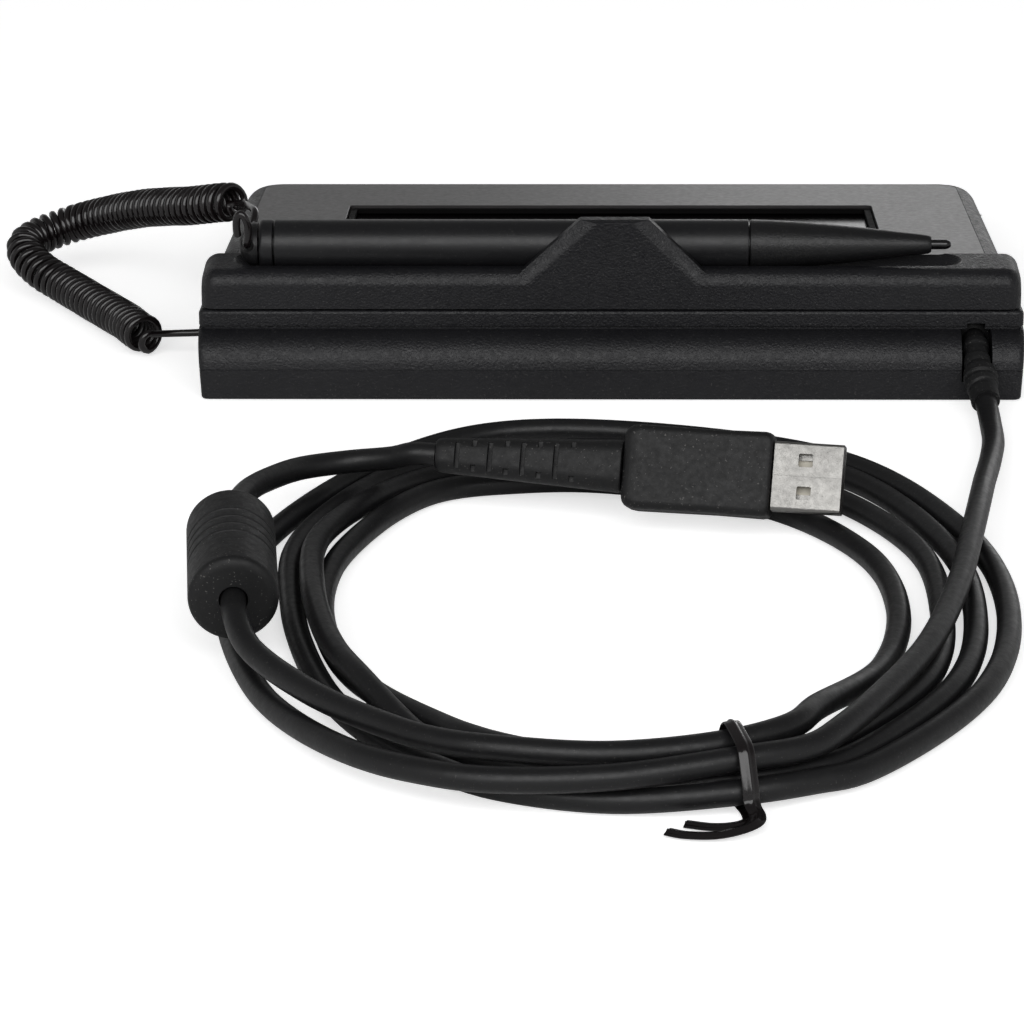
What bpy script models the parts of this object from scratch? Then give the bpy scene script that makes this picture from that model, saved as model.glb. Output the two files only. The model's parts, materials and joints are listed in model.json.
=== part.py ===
"""Signature pad with a tethered pen and a tied cable, in metres, +Z up.

The pad stands on the plane z = 0 with its user side towards -Y. Its slot for
the cable is in the rear wall, so depths are given as v, the distance in
millimetres from the rear face towards the user; behind the pad v is negative.
"""
import math

import bmesh
import bpy
import numpy as np
from mathutils import Matrix, Vector

MM = 0.001
GAP = 0.3
STAND_BACK = 0.02

# Pad, in millimetres
HEAD_HALF = (77.8, 77.35)
BODY_HALF = 75.6
HEAD_V = 18.4
DEPTH = 105.0
WALL_V = 6.05
LEDGE_Z = 23.4
LEDGE_V = 18.0
LEDGE_ROUND = 3.0
PLATE_REAR_Z = 21.95
PLATE_SLOPE = math.tan(math.radians(7.25))
PLATE_FRONT_V = 103.3
PLATE_HALF = 71.7
PLATE_CORNER = 4.6
HEAD_ROUND = 3.0
REAR_CORNER = 1.2
FRONT_CORNER = 8.0
TOP_ROUND = (4.0, 1.5)
SPLIT_REAR_Z = 16.0
SPLIT_SLOPE = 0.104
SIDE_DRAFT = 0.05
UNDERSIDE_Z = 0.15
STRIP_Z = 6.0
SHOULDER_Z = 12.2
WALL = 2.2
CAVITY_HALF = 73.9
CAVITY_FRONT_V = 99.0
LEDGE_ROOF_Z = 19.4

# Layers below the plate's top surface
PLATE_THICK = 1.2
POCKET_DEEP = 1.5
SENSOR_TOP = 1.8
SENSOR_BOTTOM = 3.3
DECK_BOTTOM = 3.8
BACKING_TOP = 4.1
BACKING_BOTTOM = 5.1
WINDOW_HALF = 52.9
WINDOW_V = (46.2, 78.2)
SENSOR_HALF = 57.0
SENSOR_V = (41.2, 83.2)
BACKING_HALF = 61.5
BACKING_V = (37.0, 87.4)

# Fixings: x and v of each one on the user's right; all but the clamp's are mirrored
REAR_BOSS = (56.0, 15.0)
FRONT_BOSS = (66.0, 92.0)
REAR_FOOT = (66.0, 8.0)
FRONT_FOOT = (62.0, 78.0)
BOARD_POSTS = ((44.0, 28.0), (44.0, 58.0))
SENSOR_SCREWS = ((59.6, 42.0), (59.6, 82.0))
CLAMP_POSTS = ((-71.4, 24.0), (-61.2, 24.0))
FLOOR_Z = 2.7
BOARD_Z = (6.0, 7.6)
BOARD_HALF = 48.0
BOARD_V = (24.0, 62.0)

# Pen, lying in its groove along X: stations are x, radii are from its axis
PEN_V = 14.2
PEN_Z = 26.4
PEN_R = 4.7
GROOVE_R = 5.0
GROOVE_X = (-67.3, 72.5)
CAP_X = (63.8, 66.4)
BARREL_X = (-26.0, 63.5)
NOSE_X = (-60.5, -26.3)
NIB_X = (-64.3, -57.5)
DOME = ((66.7, 4.05), (67.5, 4.15), (68.4, 3.9), (69.2, 3.3), (69.9, 2.3), (70.3, 1.0))
EYE = (68.6, 1.0)
EYE_R = 1.3

# Pen stop on the ledge
STOP_BASE = (-18.8, 18.2)
STOP_TOP = (-7.2, 5.7)
STOP_TOP_Z = 33.4
STOP_BASE_Z = 22.0
STOP_V = (6.05, 7.2, 9.1)
STOP_BEVEL = (4.05, 0.45)

# Tether between the pad's right side and the pen
TETHER_D = 1.4
COIL_R = 3.15
COIL_PITCH = 2.0
COIL_LEAST = 0.68
COIL_EASE = 1.6
TETHER_HOLE = (25.0, 5.2)
TETHER_IN = ((73.8, 25.0, 5.2), (76.5, 25.0, 5.2), (80.5, 24.9, 5.0), (85.2, 24.7, 4.7))
TETHER_AXIS = (
    (88.9, 24.5, 4.5), (94.9, 34.3, 4.4), (101.8, 45.2, 4.3), (108.6, 54.9, 4.7),
    (113.7, 59.8, 6.0), (117.2, 64.4, 7.6), (118.1, 68.6, 8.6), (116.3, 72.3, 9.3),
    (110.1, 75.4, 10.9), (104.0, 73.0, 13.3), (93.1, 60.8, 19.0), (81.4, 46.7, 24.0),
    (75.6, 40.9, 26.4), (72.9, 38.5, 27.1))
TETHER_OUT = ((71.9, 35.6, 27.8), (70.8, 32.6, 28.6))
TETHER_LOOP = (
    (70.7, 32.3, 28.66), (69.2, 27.0, 29.7), (67.9, 22.4, 30.2), (67.9, 20.5, 29.3),
    (68.4, 19.4, 27.9), (68.6, 17.9, 27.4), (68.6, 14.2, 27.4), (68.6, 10.5, 27.4),
    (68.5, 9.1, 28.2), (68.2, 8.3, 30.0), (68.2, 7.9, 32.2), (68.7, 7.8, 33.7),
    (69.4, 7.9, 34.3), (70.1, 8.1, 33.6), (70.3, 8.3, 32.2), (70.3, 8.6, 30.9),
    (70.2, 9.0, 29.8))

# Cable, its boot and what is on it
CABLE_D = 4.15
NOTCH_X = (-71.6, -65.9)
NOTCH_Z = (3.8, 12.2)
SLOT_X = (-70.5, -67.1)
SLOT_TOP_Z = 13.4
BOOT = (
    (-68.75, 11.9, 9.0, 3.3), (-68.75, 10.1, 9.1, 3.3), (-68.75, 9.7, 9.1, 2.2),
    (-68.75, 5.4, 9.2, 2.2), (-68.75, 4.9, 9.2, 2.5), (-68.75, 3.5, 8.9, 2.5),
    (-68.75, 3.1, 8.8, 2.2), (-68.75, 1.6, 8.2, 2.2), (-68.75, 1.1, 7.9, 2.5),
    (-68.8, -0.1, 7.3, 2.5), (-68.9, -0.7, 7.0, 2.4), (-69.0, -1.7, 6.5, 3.0),
    (-69.2, -3.1, 5.7, 3.3), (-69.2, -3.7, 5.4, 2.8), (-69.3, -4.4, 5.1, 3.1),
    (-69.4, -5.6, 4.6, 3.0), (-69.5, -6.2, 4.4, 2.6), (-69.5, -7.0, 4.1, 2.8),
    (-69.6, -7.9, 3.8, 2.75), (-69.7, -9.4, 3.3, 2.7))
CABLE_OUT = (
    (-69.72, -9.7, 3.2), (-69.9, -13.8, 2.6), (-69.9, -19.5, 2.3), (-69.7, -28.0, 2.3),
    (-68.2, -40.0, 3.0), (-65.8, -56.0, 4.8), (-63.6, -72.0, 6.6), (-60.8, -90.0, 7.1))
INNER_LEAD_D = 3.6
INNER_LEAD = (
    (-68.8, 12.2, 9.0), (-68.8, 15.8, 8.8), (-67.6, 20.5, 5.6), (-66.4, 24.0, 5.0),
    (-64.5, 30.0, 5.2), (-60.8, 36.4, 7.6), (-58.0, 41.0, 9.9), (-54.4, 41.0, 9.9))

# Hand-wound bundle: for each direction from its centre, in degrees anticlockwise
# from +X, the reach and the height of the cable's axis at each passing turn
BUNDLE_V = -109.0
TIE_AT = 105
BUNDLE = {
    180: ((57.5, 7.0), (65.8, 2.2), (60.3, 2.2), (54.8, 2.2), (47.6, 2.2)),
    150: ((57.6, 7.0), (68.4, 2.2), (63.4, 2.2), (58.4, 2.2), (50.4, 2.5)),
    120: ((70.6, 7.7), (76.2, 2.6), (71.3, 2.5), (66.2, 3.0), (62.8, 8.0)),
    114: ((74.2, 7.5), (77.1, 3.1), (72.2, 3.0), (67.5, 3.8), (68.2, 8.7)),
    TIE_AT: ((75.9, 7.9), (78.1, 3.5), (73.2, 3.4), (68.4, 4.0), (71.0, 8.6)),
    90: ((78.2, 7.0), (76.2, 2.3), (71.2, 2.3), (66.7, 4.0), (72.9, 8.4)),
    76: ((79.6, 6.2), (73.3, 2.2), (68.2, 2.2), (63.1, 4.2), (72.6, 8.3)),
    68: ((78.4, 5.6), (69.9, 2.2), (64.8, 2.2), (59.2, 3.4), (71.2, 7.6)),
    60: ((76.0, 4.8), (66.4, 2.2), (60.7, 2.7), (55.2, 2.5), (69.2, 7.4)),
    45: ((69.8, 3.0), (59.9, 2.2), (55.4, 6.0), (51.8, 2.2), (66.8, 7.6)),
    30: ((65.6, 2.2), (55.0, 2.2), (51.8, 6.7), (49.6, 2.2), (66.6, 9.4)),
    0: ((63.5, 2.2), (52.9, 2.2), (49.5, 6.9), (48.0, 2.2)),
    -30: ((67.8, 2.2), (61.6, 2.2), (56.6, 5.0), (52.6, 2.2)),
    -60: ((80.3, 2.2), (74.4, 2.2), (69.0, 2.2), (62.8, 2.2)),
    -75: ((87.6, 2.2), (75.6, 2.2), (70.6, 2.2), (61.8, 2.2)),
    -90: ((86.4, 2.2), (76.8, 2.2), (70.6, 2.2), (59.6, 2.2)),
    -120: ((81.7, 2.2), (76.2, 2.2), (66.8, 2.2), (55.0, 2.2)),
    -150: ((70.4, 2.2), (65.2, 2.2), (59.6, 2.2), (50.2, 2.2)),
}
BEAD_AT = (60.9, -129.5, 12.0)
BEAD_HEADING = -84.8
BEAD_TILT = 3.0
BEAD_LONG = 28.6
BEAD_R = 7.4
BEAD_GROOVES = 11.2
CABLE_BACK = (
    (62.3, -79.6, 11.9), (58.9, -68.0, 10.0), (54.1, -59.6, 8.7), (46.0, -55.0, 8.2),
    (38.4, -56.3, 9.4))

# Plug: the middle of the moulded body's mouth, its heading and how far it leans back
PLUG_AT = (-28.0, -69.3, 10.9)
PLUG_HEADING = 169.9
PLUG_LEAN = 26.7
BODY_LONG = 25.9
BODY_WIDE = 14.8
BODY_THICK = 7.6
RELIEF_LONG = 33.1
RELIEF_WIDE = (6.0, 9.3)
RELIEF_THICK = (5.6, 7.0)
RELIEF_SLOTS = (8.6, 2.94, 8)
SHELL = (12.0, 12.0, 4.5)
SHELL_WALL = 0.35

# Tie: a flat strip around the bundle; tails are (reach, shift along the cable, height)
TIE_WIDE = 2.6
TIE_THICK = 1.0
TIE_CLEAR = 0.42
TIE_UPPER_TAIL = (
    (81.9, 0.1, 2.6), (83.6, 0.2, 2.05), (86.0, -0.8, 1.9), (87.0, -3.4, 1.5),
    (86.6, -7.0, 0.9), (84.6, -11.5, 0.6), (82.9, -13.6, 0.6))
TIE_LOWER_TAIL = (
    (80.6, 0.0, 0.56), (82.4, -0.6, 0.56), (83.4, -2.8, 0.56), (83.0, -6.5, 0.56),
    (80.9, -10.2, 0.56))

FINISHES = {
    "case": ((0.016, 0.016, 0.018), 0.55, 0.0),
    "plate": ((0.035, 0.035, 0.037), 0.5, 0.0),
    "window": ((0.004, 0.004, 0.005), 0.2, 0.0),
    "rubber": ((0.012, 0.012, 0.012), 0.8, 0.0),
    "cable": ((0.014, 0.014, 0.015), 0.5, 0.0),
    "tether": ((0.010, 0.008, 0.009), 0.25, 0.0),
    "pen": ((0.015, 0.015, 0.017), 0.35, 0.0),
    "nickel": ((0.72, 0.70, 0.66), 0.3, 1.0),
    "steel": ((0.55, 0.55, 0.55), 0.4, 1.0),
    "board": ((0.010, 0.10, 0.045), 0.5, 0.0),
    "chip": ((0.015, 0.015, 0.015), 0.6, 0.0),
    "ferrite": ((0.035, 0.033, 0.032), 0.7, 0.0),
    "cream": ((0.62, 0.58, 0.48), 0.5, 0.0),
    "amber": ((0.45, 0.20, 0.04), 0.4, 0.0),
    "gold": ((0.80, 0.55, 0.20), 0.3, 1.0),
}


# Basics

def clear_scene():
    for obj in list(bpy.data.objects):
        bpy.data.objects.remove(obj, do_unlink=True)


def material(name):
    found = bpy.data.materials.get(name)
    if found:
        return found
    colour, roughness, metallic = FINISHES[name]
    made = bpy.data.materials.new(name)
    made.use_nodes = True
    shader = made.node_tree.nodes["Principled BSDF"]
    shader.inputs["Base Color"].default_value = (*colour, 1.0)
    shader.inputs["Roughness"].default_value = roughness
    shader.inputs["Metallic"].default_value = metallic
    return made


def at(x, v, z):
    """World place in metres of x, distance v from the rear face and height z."""
    return Vector((x, DEPTH / 2 - v, z)) * MM


def split_z(v):
    return SPLIT_REAR_Z - (v - WALL_V) * SPLIT_SLOPE


def plate_z(v):
    return PLATE_REAR_Z - (v - LEDGE_V) * PLATE_SLOPE


def link(name, data, finish, parent=None):
    obj = bpy.data.objects.new(name, data)
    bpy.context.collection.objects.link(obj)
    data.materials.append(material(finish))
    obj.parent = parent
    return obj


def finish_mesh(name, bm, finish, parent=None):
    bmesh.ops.recalc_face_normals(bm, faces=bm.faces)
    mesh = bpy.data.meshes.new(name)
    bm.to_mesh(mesh)
    bm.free()
    mesh.shade_smooth()
    mesh.set_sharp_from_angle(angle=math.radians(32))
    return link(name, mesh, finish, parent)


def boolean(obj, bm, operation):
    """Cut obj by the closed bodies in bm, or join them to it."""
    tool = finish_mesh(obj.name + "_tool", bm, "case", obj.parent)
    tool.hide_render = True
    tool.display_type = "WIRE"
    modifier = obj.modifiers.new(operation.lower(), "BOOLEAN")
    modifier.operation = operation
    modifier.object = tool
    modifier.solver = "EXACT"


def skin(bm, rings, loop=False):
    """Faces between rings of as many points each; open ends are capped."""
    rows = [[bm.verts.new(p) for p in ring] for ring in rings]
    pairs = list(zip(rows, rows[1:]))
    if loop:
        pairs.append((rows[-1], rows[0]))
    for low, high in pairs:
        for i in range(len(low)):
            j = (i + 1) % len(low)
            bm.faces.new((low[i], low[j], high[j], high[i]))
    if not loop:
        bm.faces.new(rows[0])
        bm.faces.new(rows[-1])


def turned_body(bm, profile, sides, loop=False, place=None):
    """Rings about the local X axis, from (x, radius) pairs in millimetres."""
    rings = []
    for x, radius in profile:
        ring = []
        for i in range(sides):
            turn = 2 * math.pi * i / sides
            ring.append(Vector((x, radius * math.cos(turn), radius * math.sin(turn))) * MM)
        rings.append([place @ p for p in ring] if place else ring)
    skin(bm, rings, loop)


def turned(name, profile, sides, finish, parent=None, loop=False):
    bm = bmesh.new()
    turned_body(bm, profile, sides, loop)
    return finish_mesh(name, bm, finish, parent)


def post(bm, x, v, low, high, radius, sides=16):
    """Upright cylinder."""
    place = Matrix.Translation(at(x, v, 0)) @ Matrix.Rotation(-math.pi / 2, 4, "Y")
    turned_body(bm, ((low, radius), (high, radius)), sides, place=place)


def box(bm, x, v, z, chamfer=0.0):
    """Box between pairs of x, v and z; its upper edges can be cut back."""
    def ring(height, inset):
        return [at(px, pv, height) for px, pv in (
            (x[0] + inset, v[0] + inset), (x[1] - inset, v[0] + inset),
            (x[1] - inset, v[1] - inset), (x[0] + inset, v[1] - inset))]
    rings = [ring(z[0], 0), ring(z[1] - chamfer, 0)]
    if chamfer:
        rings.append(ring(z[1], chamfer))
    skin(bm, rings)


def both_sides(places):
    return [(side * x, v) for x, v in places for side in (-1, 1)]


def rounded_outline(x, v, corner, steps=4):
    """Points of a rectangle with round corners, as (x, v) pairs."""
    points = []
    centres = ((x[1] - corner, v[1] - corner), (x[0] + corner, v[1] - corner),
               (x[0] + corner, v[0] + corner), (x[1] - corner, v[0] + corner))
    for quarter, (cx, cv) in enumerate(centres):
        for i in range(steps + 1):
            turn = math.pi / 2 * (quarter + i / steps)
            points.append((cx + corner * math.cos(turn), cv + corner * math.sin(turn)))
    return points


def plan_outline(half, v, rear_corner, front_corner, steps=3):
    """Points of a symmetric plan whose rear and front corners differ, as (x, v) pairs."""
    right = []
    for i in range(steps + 1):
        turn = math.pi / 2 * i / steps
        right.append((half - rear_corner * (1 - math.sin(turn)), v[0] + rear_corner * (1 - math.cos(turn))))
    for i in range(steps + 1):
        turn = math.pi / 2 * i / steps
        right.append((half - front_corner * (1 - math.cos(turn)), v[1] - front_corner * (1 - math.sin(turn))))
    return right + [(-x, pv) for x, pv in reversed(right)]


def sloped_slab(bm, half, v, top, bottom, corner):
    """Slab that follows the plate's slope, top and bottom given as depths below it."""
    outline = rounded_outline((-half, half), v, corner)
    skin(bm, [[at(px, pv, plate_z(pv) - depth) for px, pv in outline] for depth in (top, bottom)])


def smooth_route(points, longest):
    """Centripetal curve through the points, cut where two of them lie far apart."""
    route = [np.array(p, float) for p in points]
    padded = [2 * route[0] - route[1], *route, 2 * route[-1] - route[-2]]
    result = []
    for p0, p1, p2, p3 in zip(padded, padded[1:], padded[2:], padded[3:]):
        d0, d1, d2 = (math.sqrt(np.linalg.norm(b - a)) for a, b in ((p0, p1), (p1, p2), (p2, p3)))
        m1 = d1 * ((p1 - p0) / d0 - (p2 - p0) / (d0 + d1) + (p2 - p1) / d1)
        m2 = d1 * ((p2 - p1) / d1 - (p3 - p1) / (d1 + d2) + (p3 - p2) / d2)
        cuts = max(1, math.ceil(np.linalg.norm(p2 - p1) / longest - 0.001))
        for t in np.arange(cuts) / cuts:
            result.append((2 * t**3 - 3 * t**2 + 1) * p1 + (t**3 - 2 * t**2 + t) * m1
                          + (3 * t**2 - 2 * t**3) * p2 + (t**3 - t**2) * m2)
    result.append(route[-1])
    return np.array(result)


def lengths_along(points):
    return np.concatenate(([0.0], np.cumsum(np.linalg.norm(np.diff(points, axis=0), axis=1))))


def least_gap(points, diameter, step, skip):
    """Text with the least clear distance between stretches of a tube that lie skip apart."""
    along = lengths_along(points)
    stations = np.arange(0, along[-1], step)
    dense = np.array([np.interp(stations, along, points[:, i]) for i in range(3)]).T
    least, place = 1e9, None
    ahead = int(skip / step)
    for i in range(len(dense) - ahead):
        nearest = np.linalg.norm(dense[i + ahead:] - dense[i], axis=1).min()
        if nearest < least:
            least, place = nearest, dense[i]
    return f"least gap {least - diameter:.2f} mm near {np.round(place, 1)}"


def tube(name, points, diameter, finish, resolution=2, loop=False, parent=None):
    """Round tube through (x, v, z) points."""
    curve = bpy.data.curves.new(name, "CURVE")
    curve.dimensions = "3D"
    curve.bevel_depth = diameter / 2 * MM
    curve.bevel_resolution = resolution
    curve.use_fill_caps = True
    curve.render_resolution_u = 0
    spline = curve.splines.new("POLY")
    spline.points.add(len(points) - 1)
    for point, place in zip(spline.points, points):
        point.co = (*at(*place), 1.0)
    spline.use_cyclic_u = loop
    return link(name, curve, finish, parent)


# Housing

def upper_head(bm):
    """Ledge across the rear, round along its top, its sides and its upright corners."""
    start = HEAD_HALF[1] - HEAD_ROUND
    turns = [math.radians(turn) for turn in (0, 30, 60, 90)]
    stations = [(start + HEAD_ROUND * math.sin(turn), HEAD_ROUND * (1 - math.cos(turn))) for turn in turns]
    rings = []
    for x, inset in [(-x, inset) for x, inset in reversed(stations)] + stations:
        edge, top = WALL_V + inset, LEDGE_Z - inset
        section = [(edge, split_z(edge) + GAP / 2)]
        section += [(edge + LEDGE_ROUND * (1 - math.cos(turn)), top - LEDGE_ROUND * (1 - math.sin(turn)))
                    for turn in turns]
        section += [(HEAD_V, top), (HEAD_V, split_z(HEAD_V) + GAP / 2)]
        rings.append([at(x, v, z) for v, z in section])
    skin(bm, rings)


def upper_body(bm):
    """Sloping part in front of the ledge, with round edges along its sides and front."""
    rear = HEAD_V - 5
    rings = [[at(x, v, split_z(v) + GAP / 2 + STAND_BACK)
              for x, v in plan_outline(BODY_HALF, (rear, DEPTH), 1.0, FRONT_CORNER)]]
    for turn in (0, 30, 60, 90):
        angle = math.radians(turn)
        cut = 1 - math.cos(angle)
        side, front = TOP_ROUND[0] * cut, TOP_ROUND[1] * cut
        outline = plan_outline(BODY_HALF - side, (rear, DEPTH - front), 1.0, FRONT_CORNER - side)
        drop = TOP_ROUND[0] * (1 - math.sin(angle))
        rings.append([at(x, v, plate_z(v) - drop) for x, v in outline])
    skin(bm, rings)


def lower_head(bm):
    """Rear of the base: flat strip, quarter-round shoulder, then upright to the split."""
    levels = [(UNDERSIDE_Z, 0.0), (STRIP_Z, 0.0)]
    for turn in (22.5, 45, 67.5, 90):
        angle = math.radians(turn)
        levels.append((STRIP_Z + (SHOULDER_Z - STRIP_Z) * math.sin(angle), WALL_V * (1 - math.cos(angle))))
    rings = []
    for z, rear in levels:
        half = HEAD_HALF[0] - SIDE_DRAFT * (SHOULDER_Z - z)
        rings.append([at(x, v, z) for x, v in plan_outline(half, (rear, HEAD_V), REAR_CORNER, 0.2)])
    outline = plan_outline(HEAD_HALF[0], (WALL_V, HEAD_V), REAR_CORNER, 0.2)
    rings.append([at(x, v, split_z(v) - GAP / 2) for x, v in outline])
    skin(bm, rings)


def lower_body(bm):
    """Front part of the base; it stands back from the head's planes by a hair."""
    rear = HEAD_V - 5
    half = BODY_HALF - SIDE_DRAFT * (split_z(HEAD_V) - UNDERSIDE_Z)
    low = plan_outline(half, (rear, DEPTH), 1.0, FRONT_CORNER)
    high = plan_outline(BODY_HALF, (rear, DEPTH), 1.0, FRONT_CORNER)
    skin(bm, [[at(x, v, UNDERSIDE_Z + STAND_BACK) for x, v in low],
              [at(x, v, split_z(v) - GAP / 2 - STAND_BACK) for x, v in high]])


def hollow(bm, section, half):
    skin(bm, [[at(x, v, z) for v, z in section] for x in (-half, half)])


def make_upper_housing():
    bm = bmesh.new()
    upper_body(bm)
    obj = finish_mesh("upper_housing", bm, "case")
    bm = bmesh.new()
    upper_head(bm)
    boolean(obj, bm, "UNION")

    inner = WALL_V + WALL
    front = CAVITY_FRONT_V
    bm = bmesh.new()
    hollow(bm, ((inner, split_z(inner) - 1), (inner, LEDGE_ROOF_Z), (LEDGE_V, LEDGE_ROOF_Z),
                (LEDGE_V, plate_z(LEDGE_V) - DECK_BOTTOM), (front, plate_z(front) - DECK_BOTTOM),
                (front, split_z(front) - 1)), CAVITY_HALF)
    boolean(obj, bm, "DIFFERENCE")

    bm = bmesh.new()
    for x, v in both_sides((REAR_BOSS,)):
        post(bm, x, v, 10.4, 20.2, 3.6)
    for x, v in both_sides((FRONT_BOSS,)):
        post(bm, x, v, 6.0, 9.3, 3.6)
    pen_stop(bm)
    boolean(obj, bm, "UNION")

    bm = bmesh.new()
    sloped_slab(bm, PLATE_HALF, (LEDGE_V, PLATE_FRONT_V), -9.0, POCKET_DEEP, PLATE_CORNER)
    boolean(obj, bm, "DIFFERENCE")

    bm = bmesh.new()
    sloped_slab(bm, SENSOR_HALF + 0.6, (SENSOR_V[0] - 0.6, SENSOR_V[1] + 0.6), 0.5, 6.0, 1.0)
    for x, v in both_sides((REAR_BOSS,)):
        post(bm, x, v, 9.0, 18.4, 1.5, 12)
    for x, v in both_sides((FRONT_BOSS,)):
        post(bm, x, v, 4.5, 9.0, 1.5, 12)
    for x, v in both_sides(SENSOR_SCREWS):
        low = plate_z(v) - 5.5
        post(bm, x, v, low, low + 3.1, 0.9, 10)
    pen_groove(bm)
    boolean(obj, bm, "DIFFERENCE")


def pen_stop(bm):
    """Upright tapered fin whose rear edges are cut back in a wide bevel along its slopes."""
    flanks = [(low - top) / (STOP_TOP_Z - STOP_BASE_Z) for low, top in zip(STOP_BASE, STOP_TOP)]

    def outline(v, side, down):
        low, top = STOP_BASE_Z - 1.5, STOP_TOP_Z - down
        left, right = (STOP_TOP[0] + side, flanks[0]), (STOP_TOP[1] - side, flanks[1])
        return [at(x + (STOP_TOP_Z - z) * flank, v, z)
                for (x, flank), z in ((left, low), (right, low), (right, top), (left, top))]
    rear, ridge, front = STOP_V
    skin(bm, [outline(rear + STAND_BACK, *STOP_BEVEL), outline(ridge, 0.0, 0.0), outline(front, 0.0, 0.0)])


def pen_groove(bm):
    """Long trough with round ends that the pen lies in."""
    profile = []
    low, high = GROOVE_X[0] + GROOVE_R, GROOVE_X[1] - GROOVE_R
    for turn in (78, 52, 26, 0):
        angle = math.radians(turn)
        profile.append((low - GROOVE_R * math.sin(angle), GROOVE_R * math.cos(angle)))
    profile += [(low + high - x, radius) for x, radius in reversed(profile)]
    turned_body(bm, profile, 20, place=Matrix.Translation(at(0, PEN_V, PEN_Z)))


def make_lower_housing():
    bm = bmesh.new()
    lower_body(bm)
    obj = finish_mesh("lower_housing", bm, "case")
    bm = bmesh.new()
    lower_head(bm)
    boolean(obj, bm, "UNION")

    inner = WALL_V + WALL
    front = CAVITY_FRONT_V
    bm = bmesh.new()
    hollow(bm, ((WALL, FLOOR_Z), (WALL, STRIP_Z - 0.4), (inner, SHOULDER_Z - 0.6),
                (inner, split_z(inner) + 1), (front, split_z(front) + 1), (front, FLOOR_Z)),
           CAVITY_HALF)
    boolean(obj, bm, "DIFFERENCE")

    bm = bmesh.new()
    for x, v in both_sides((REAR_BOSS,)):
        post(bm, x, v, 1.6, 10.1, 4.0)
    for x, v in both_sides((FRONT_BOSS,)):
        post(bm, x, v, 1.6, 5.7, 4.0)
    for x, v in both_sides(BOARD_POSTS):
        post(bm, x, v, 1.6, BOARD_Z[0] - GAP, 3.0, 12)
    for x, v in CLAMP_POSTS:
        post(bm, x, v, 1.6, 6.8, 2.4, 12)
    boolean(obj, bm, "UNION")

    bm = bmesh.new()
    for x, v in both_sides((REAR_BOSS,)):
        post(bm, x, v, -1, 4.5, 3.0)
    for x, v in both_sides((FRONT_BOSS,)):
        post(bm, x, v, -1, 2.9, 3.0)
    for x, v in both_sides((REAR_FOOT, FRONT_FOOT)):
        post(bm, x, v, -1, 1.6, 5.2)
    for x, v in both_sides(BOARD_POSTS):
        post(bm, x, v, 3.2, 8, 1.2, 10)
    for x, v in CLAMP_POSTS:
        post(bm, x, v, 3.5, 8, 1.1, 10)
    boolean(obj, bm, "DIFFERENCE")

    bm = bmesh.new()
    for x, v in both_sides((REAR_BOSS, FRONT_BOSS)):
        post(bm, x, v, 2.0, 12, 1.7, 12)
    box(bm, NOTCH_X, (-1, WALL_V + 4), NOTCH_Z)
    hole = Matrix.Translation(at(0, *TETHER_HOLE))
    turned_body(bm, ((72, 1.15), (80, 1.15)), 12, place=hole)
    boolean(obj, bm, "DIFFERENCE")

    bm = bmesh.new()
    box(bm, SLOT_X, (-1, WALL_V + 4), (NOTCH_Z[1] - 1, SLOT_TOP_Z))
    boolean(obj, bm, "DIFFERENCE")


def make_feet():
    for i, (x, v) in enumerate(both_sides((REAR_FOOT, FRONT_FOOT))):
        bm = bmesh.new()
        place = Matrix.Translation(at(x, v, 0)) @ Matrix.Rotation(-math.pi / 2, 4, "Y")
        turned_body(bm, ((0, 4.5), (0.3, 4.9), (1.3, 4.9)), 20, place=place)
        finish_mesh(f"foot_{i + 1}", bm, "rubber")


# Screen stack and electronics

def make_writing_surface():
    bm = bmesh.new()
    sloped_slab(bm, PLATE_HALF - GAP, (LEDGE_V + GAP, PLATE_FRONT_V - GAP), 0, PLATE_THICK,
                PLATE_CORNER - GAP)
    obj = finish_mesh("writing_surface", bm, "plate")
    bm = bmesh.new()
    sloped_slab(bm, WINDOW_HALF, WINDOW_V, -1, 3, 1.2)
    boolean(obj, bm, "DIFFERENCE")


def make_window_gasket():
    bm = bmesh.new()
    edge = (WINDOW_V[0] + GAP, WINDOW_V[1] - GAP)
    sloped_slab(bm, WINDOW_HALF - GAP, edge, 0.6, POCKET_DEEP, 1.0)
    obj = finish_mesh("window_gasket", bm, "rubber")
    bm = bmesh.new()
    sloped_slab(bm, WINDOW_HALF - 1.5, (WINDOW_V[0] + 1.5, WINDOW_V[1] - 1.5), -1, 3, 0.6)
    boolean(obj, bm, "DIFFERENCE")


def make_sensor():
    bm = bmesh.new()
    sloped_slab(bm, SENSOR_HALF, SENSOR_V, SENSOR_TOP, SENSOR_BOTTOM, 0.8)
    finish_mesh("sensor_panel", bm, "window")

    bm = bmesh.new()
    sloped_slab(bm, BACKING_HALF, BACKING_V, BACKING_TOP, BACKING_BOTTOM, 2.0)
    backing = finish_mesh("sensor_backing", bm, "steel")
    bm = bmesh.new()
    box(bm, (-8, 8), (BACKING_V[0] - 1, 48), (5, 25))
    for x, v in both_sides(SENSOR_SCREWS):
        post(bm, x, v, 3, 25, 1.1, 10)
    boolean(backing, bm, "DIFFERENCE")

    for i, (x, v) in enumerate(both_sides(SENSOR_SCREWS)):
        head = plate_z(v) - BACKING_BOTTOM - GAP
        screw(f"sensor_screw_{i + 1}", x, v, head, head + 2.7, 1.9, 0.6, 1.2)


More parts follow.
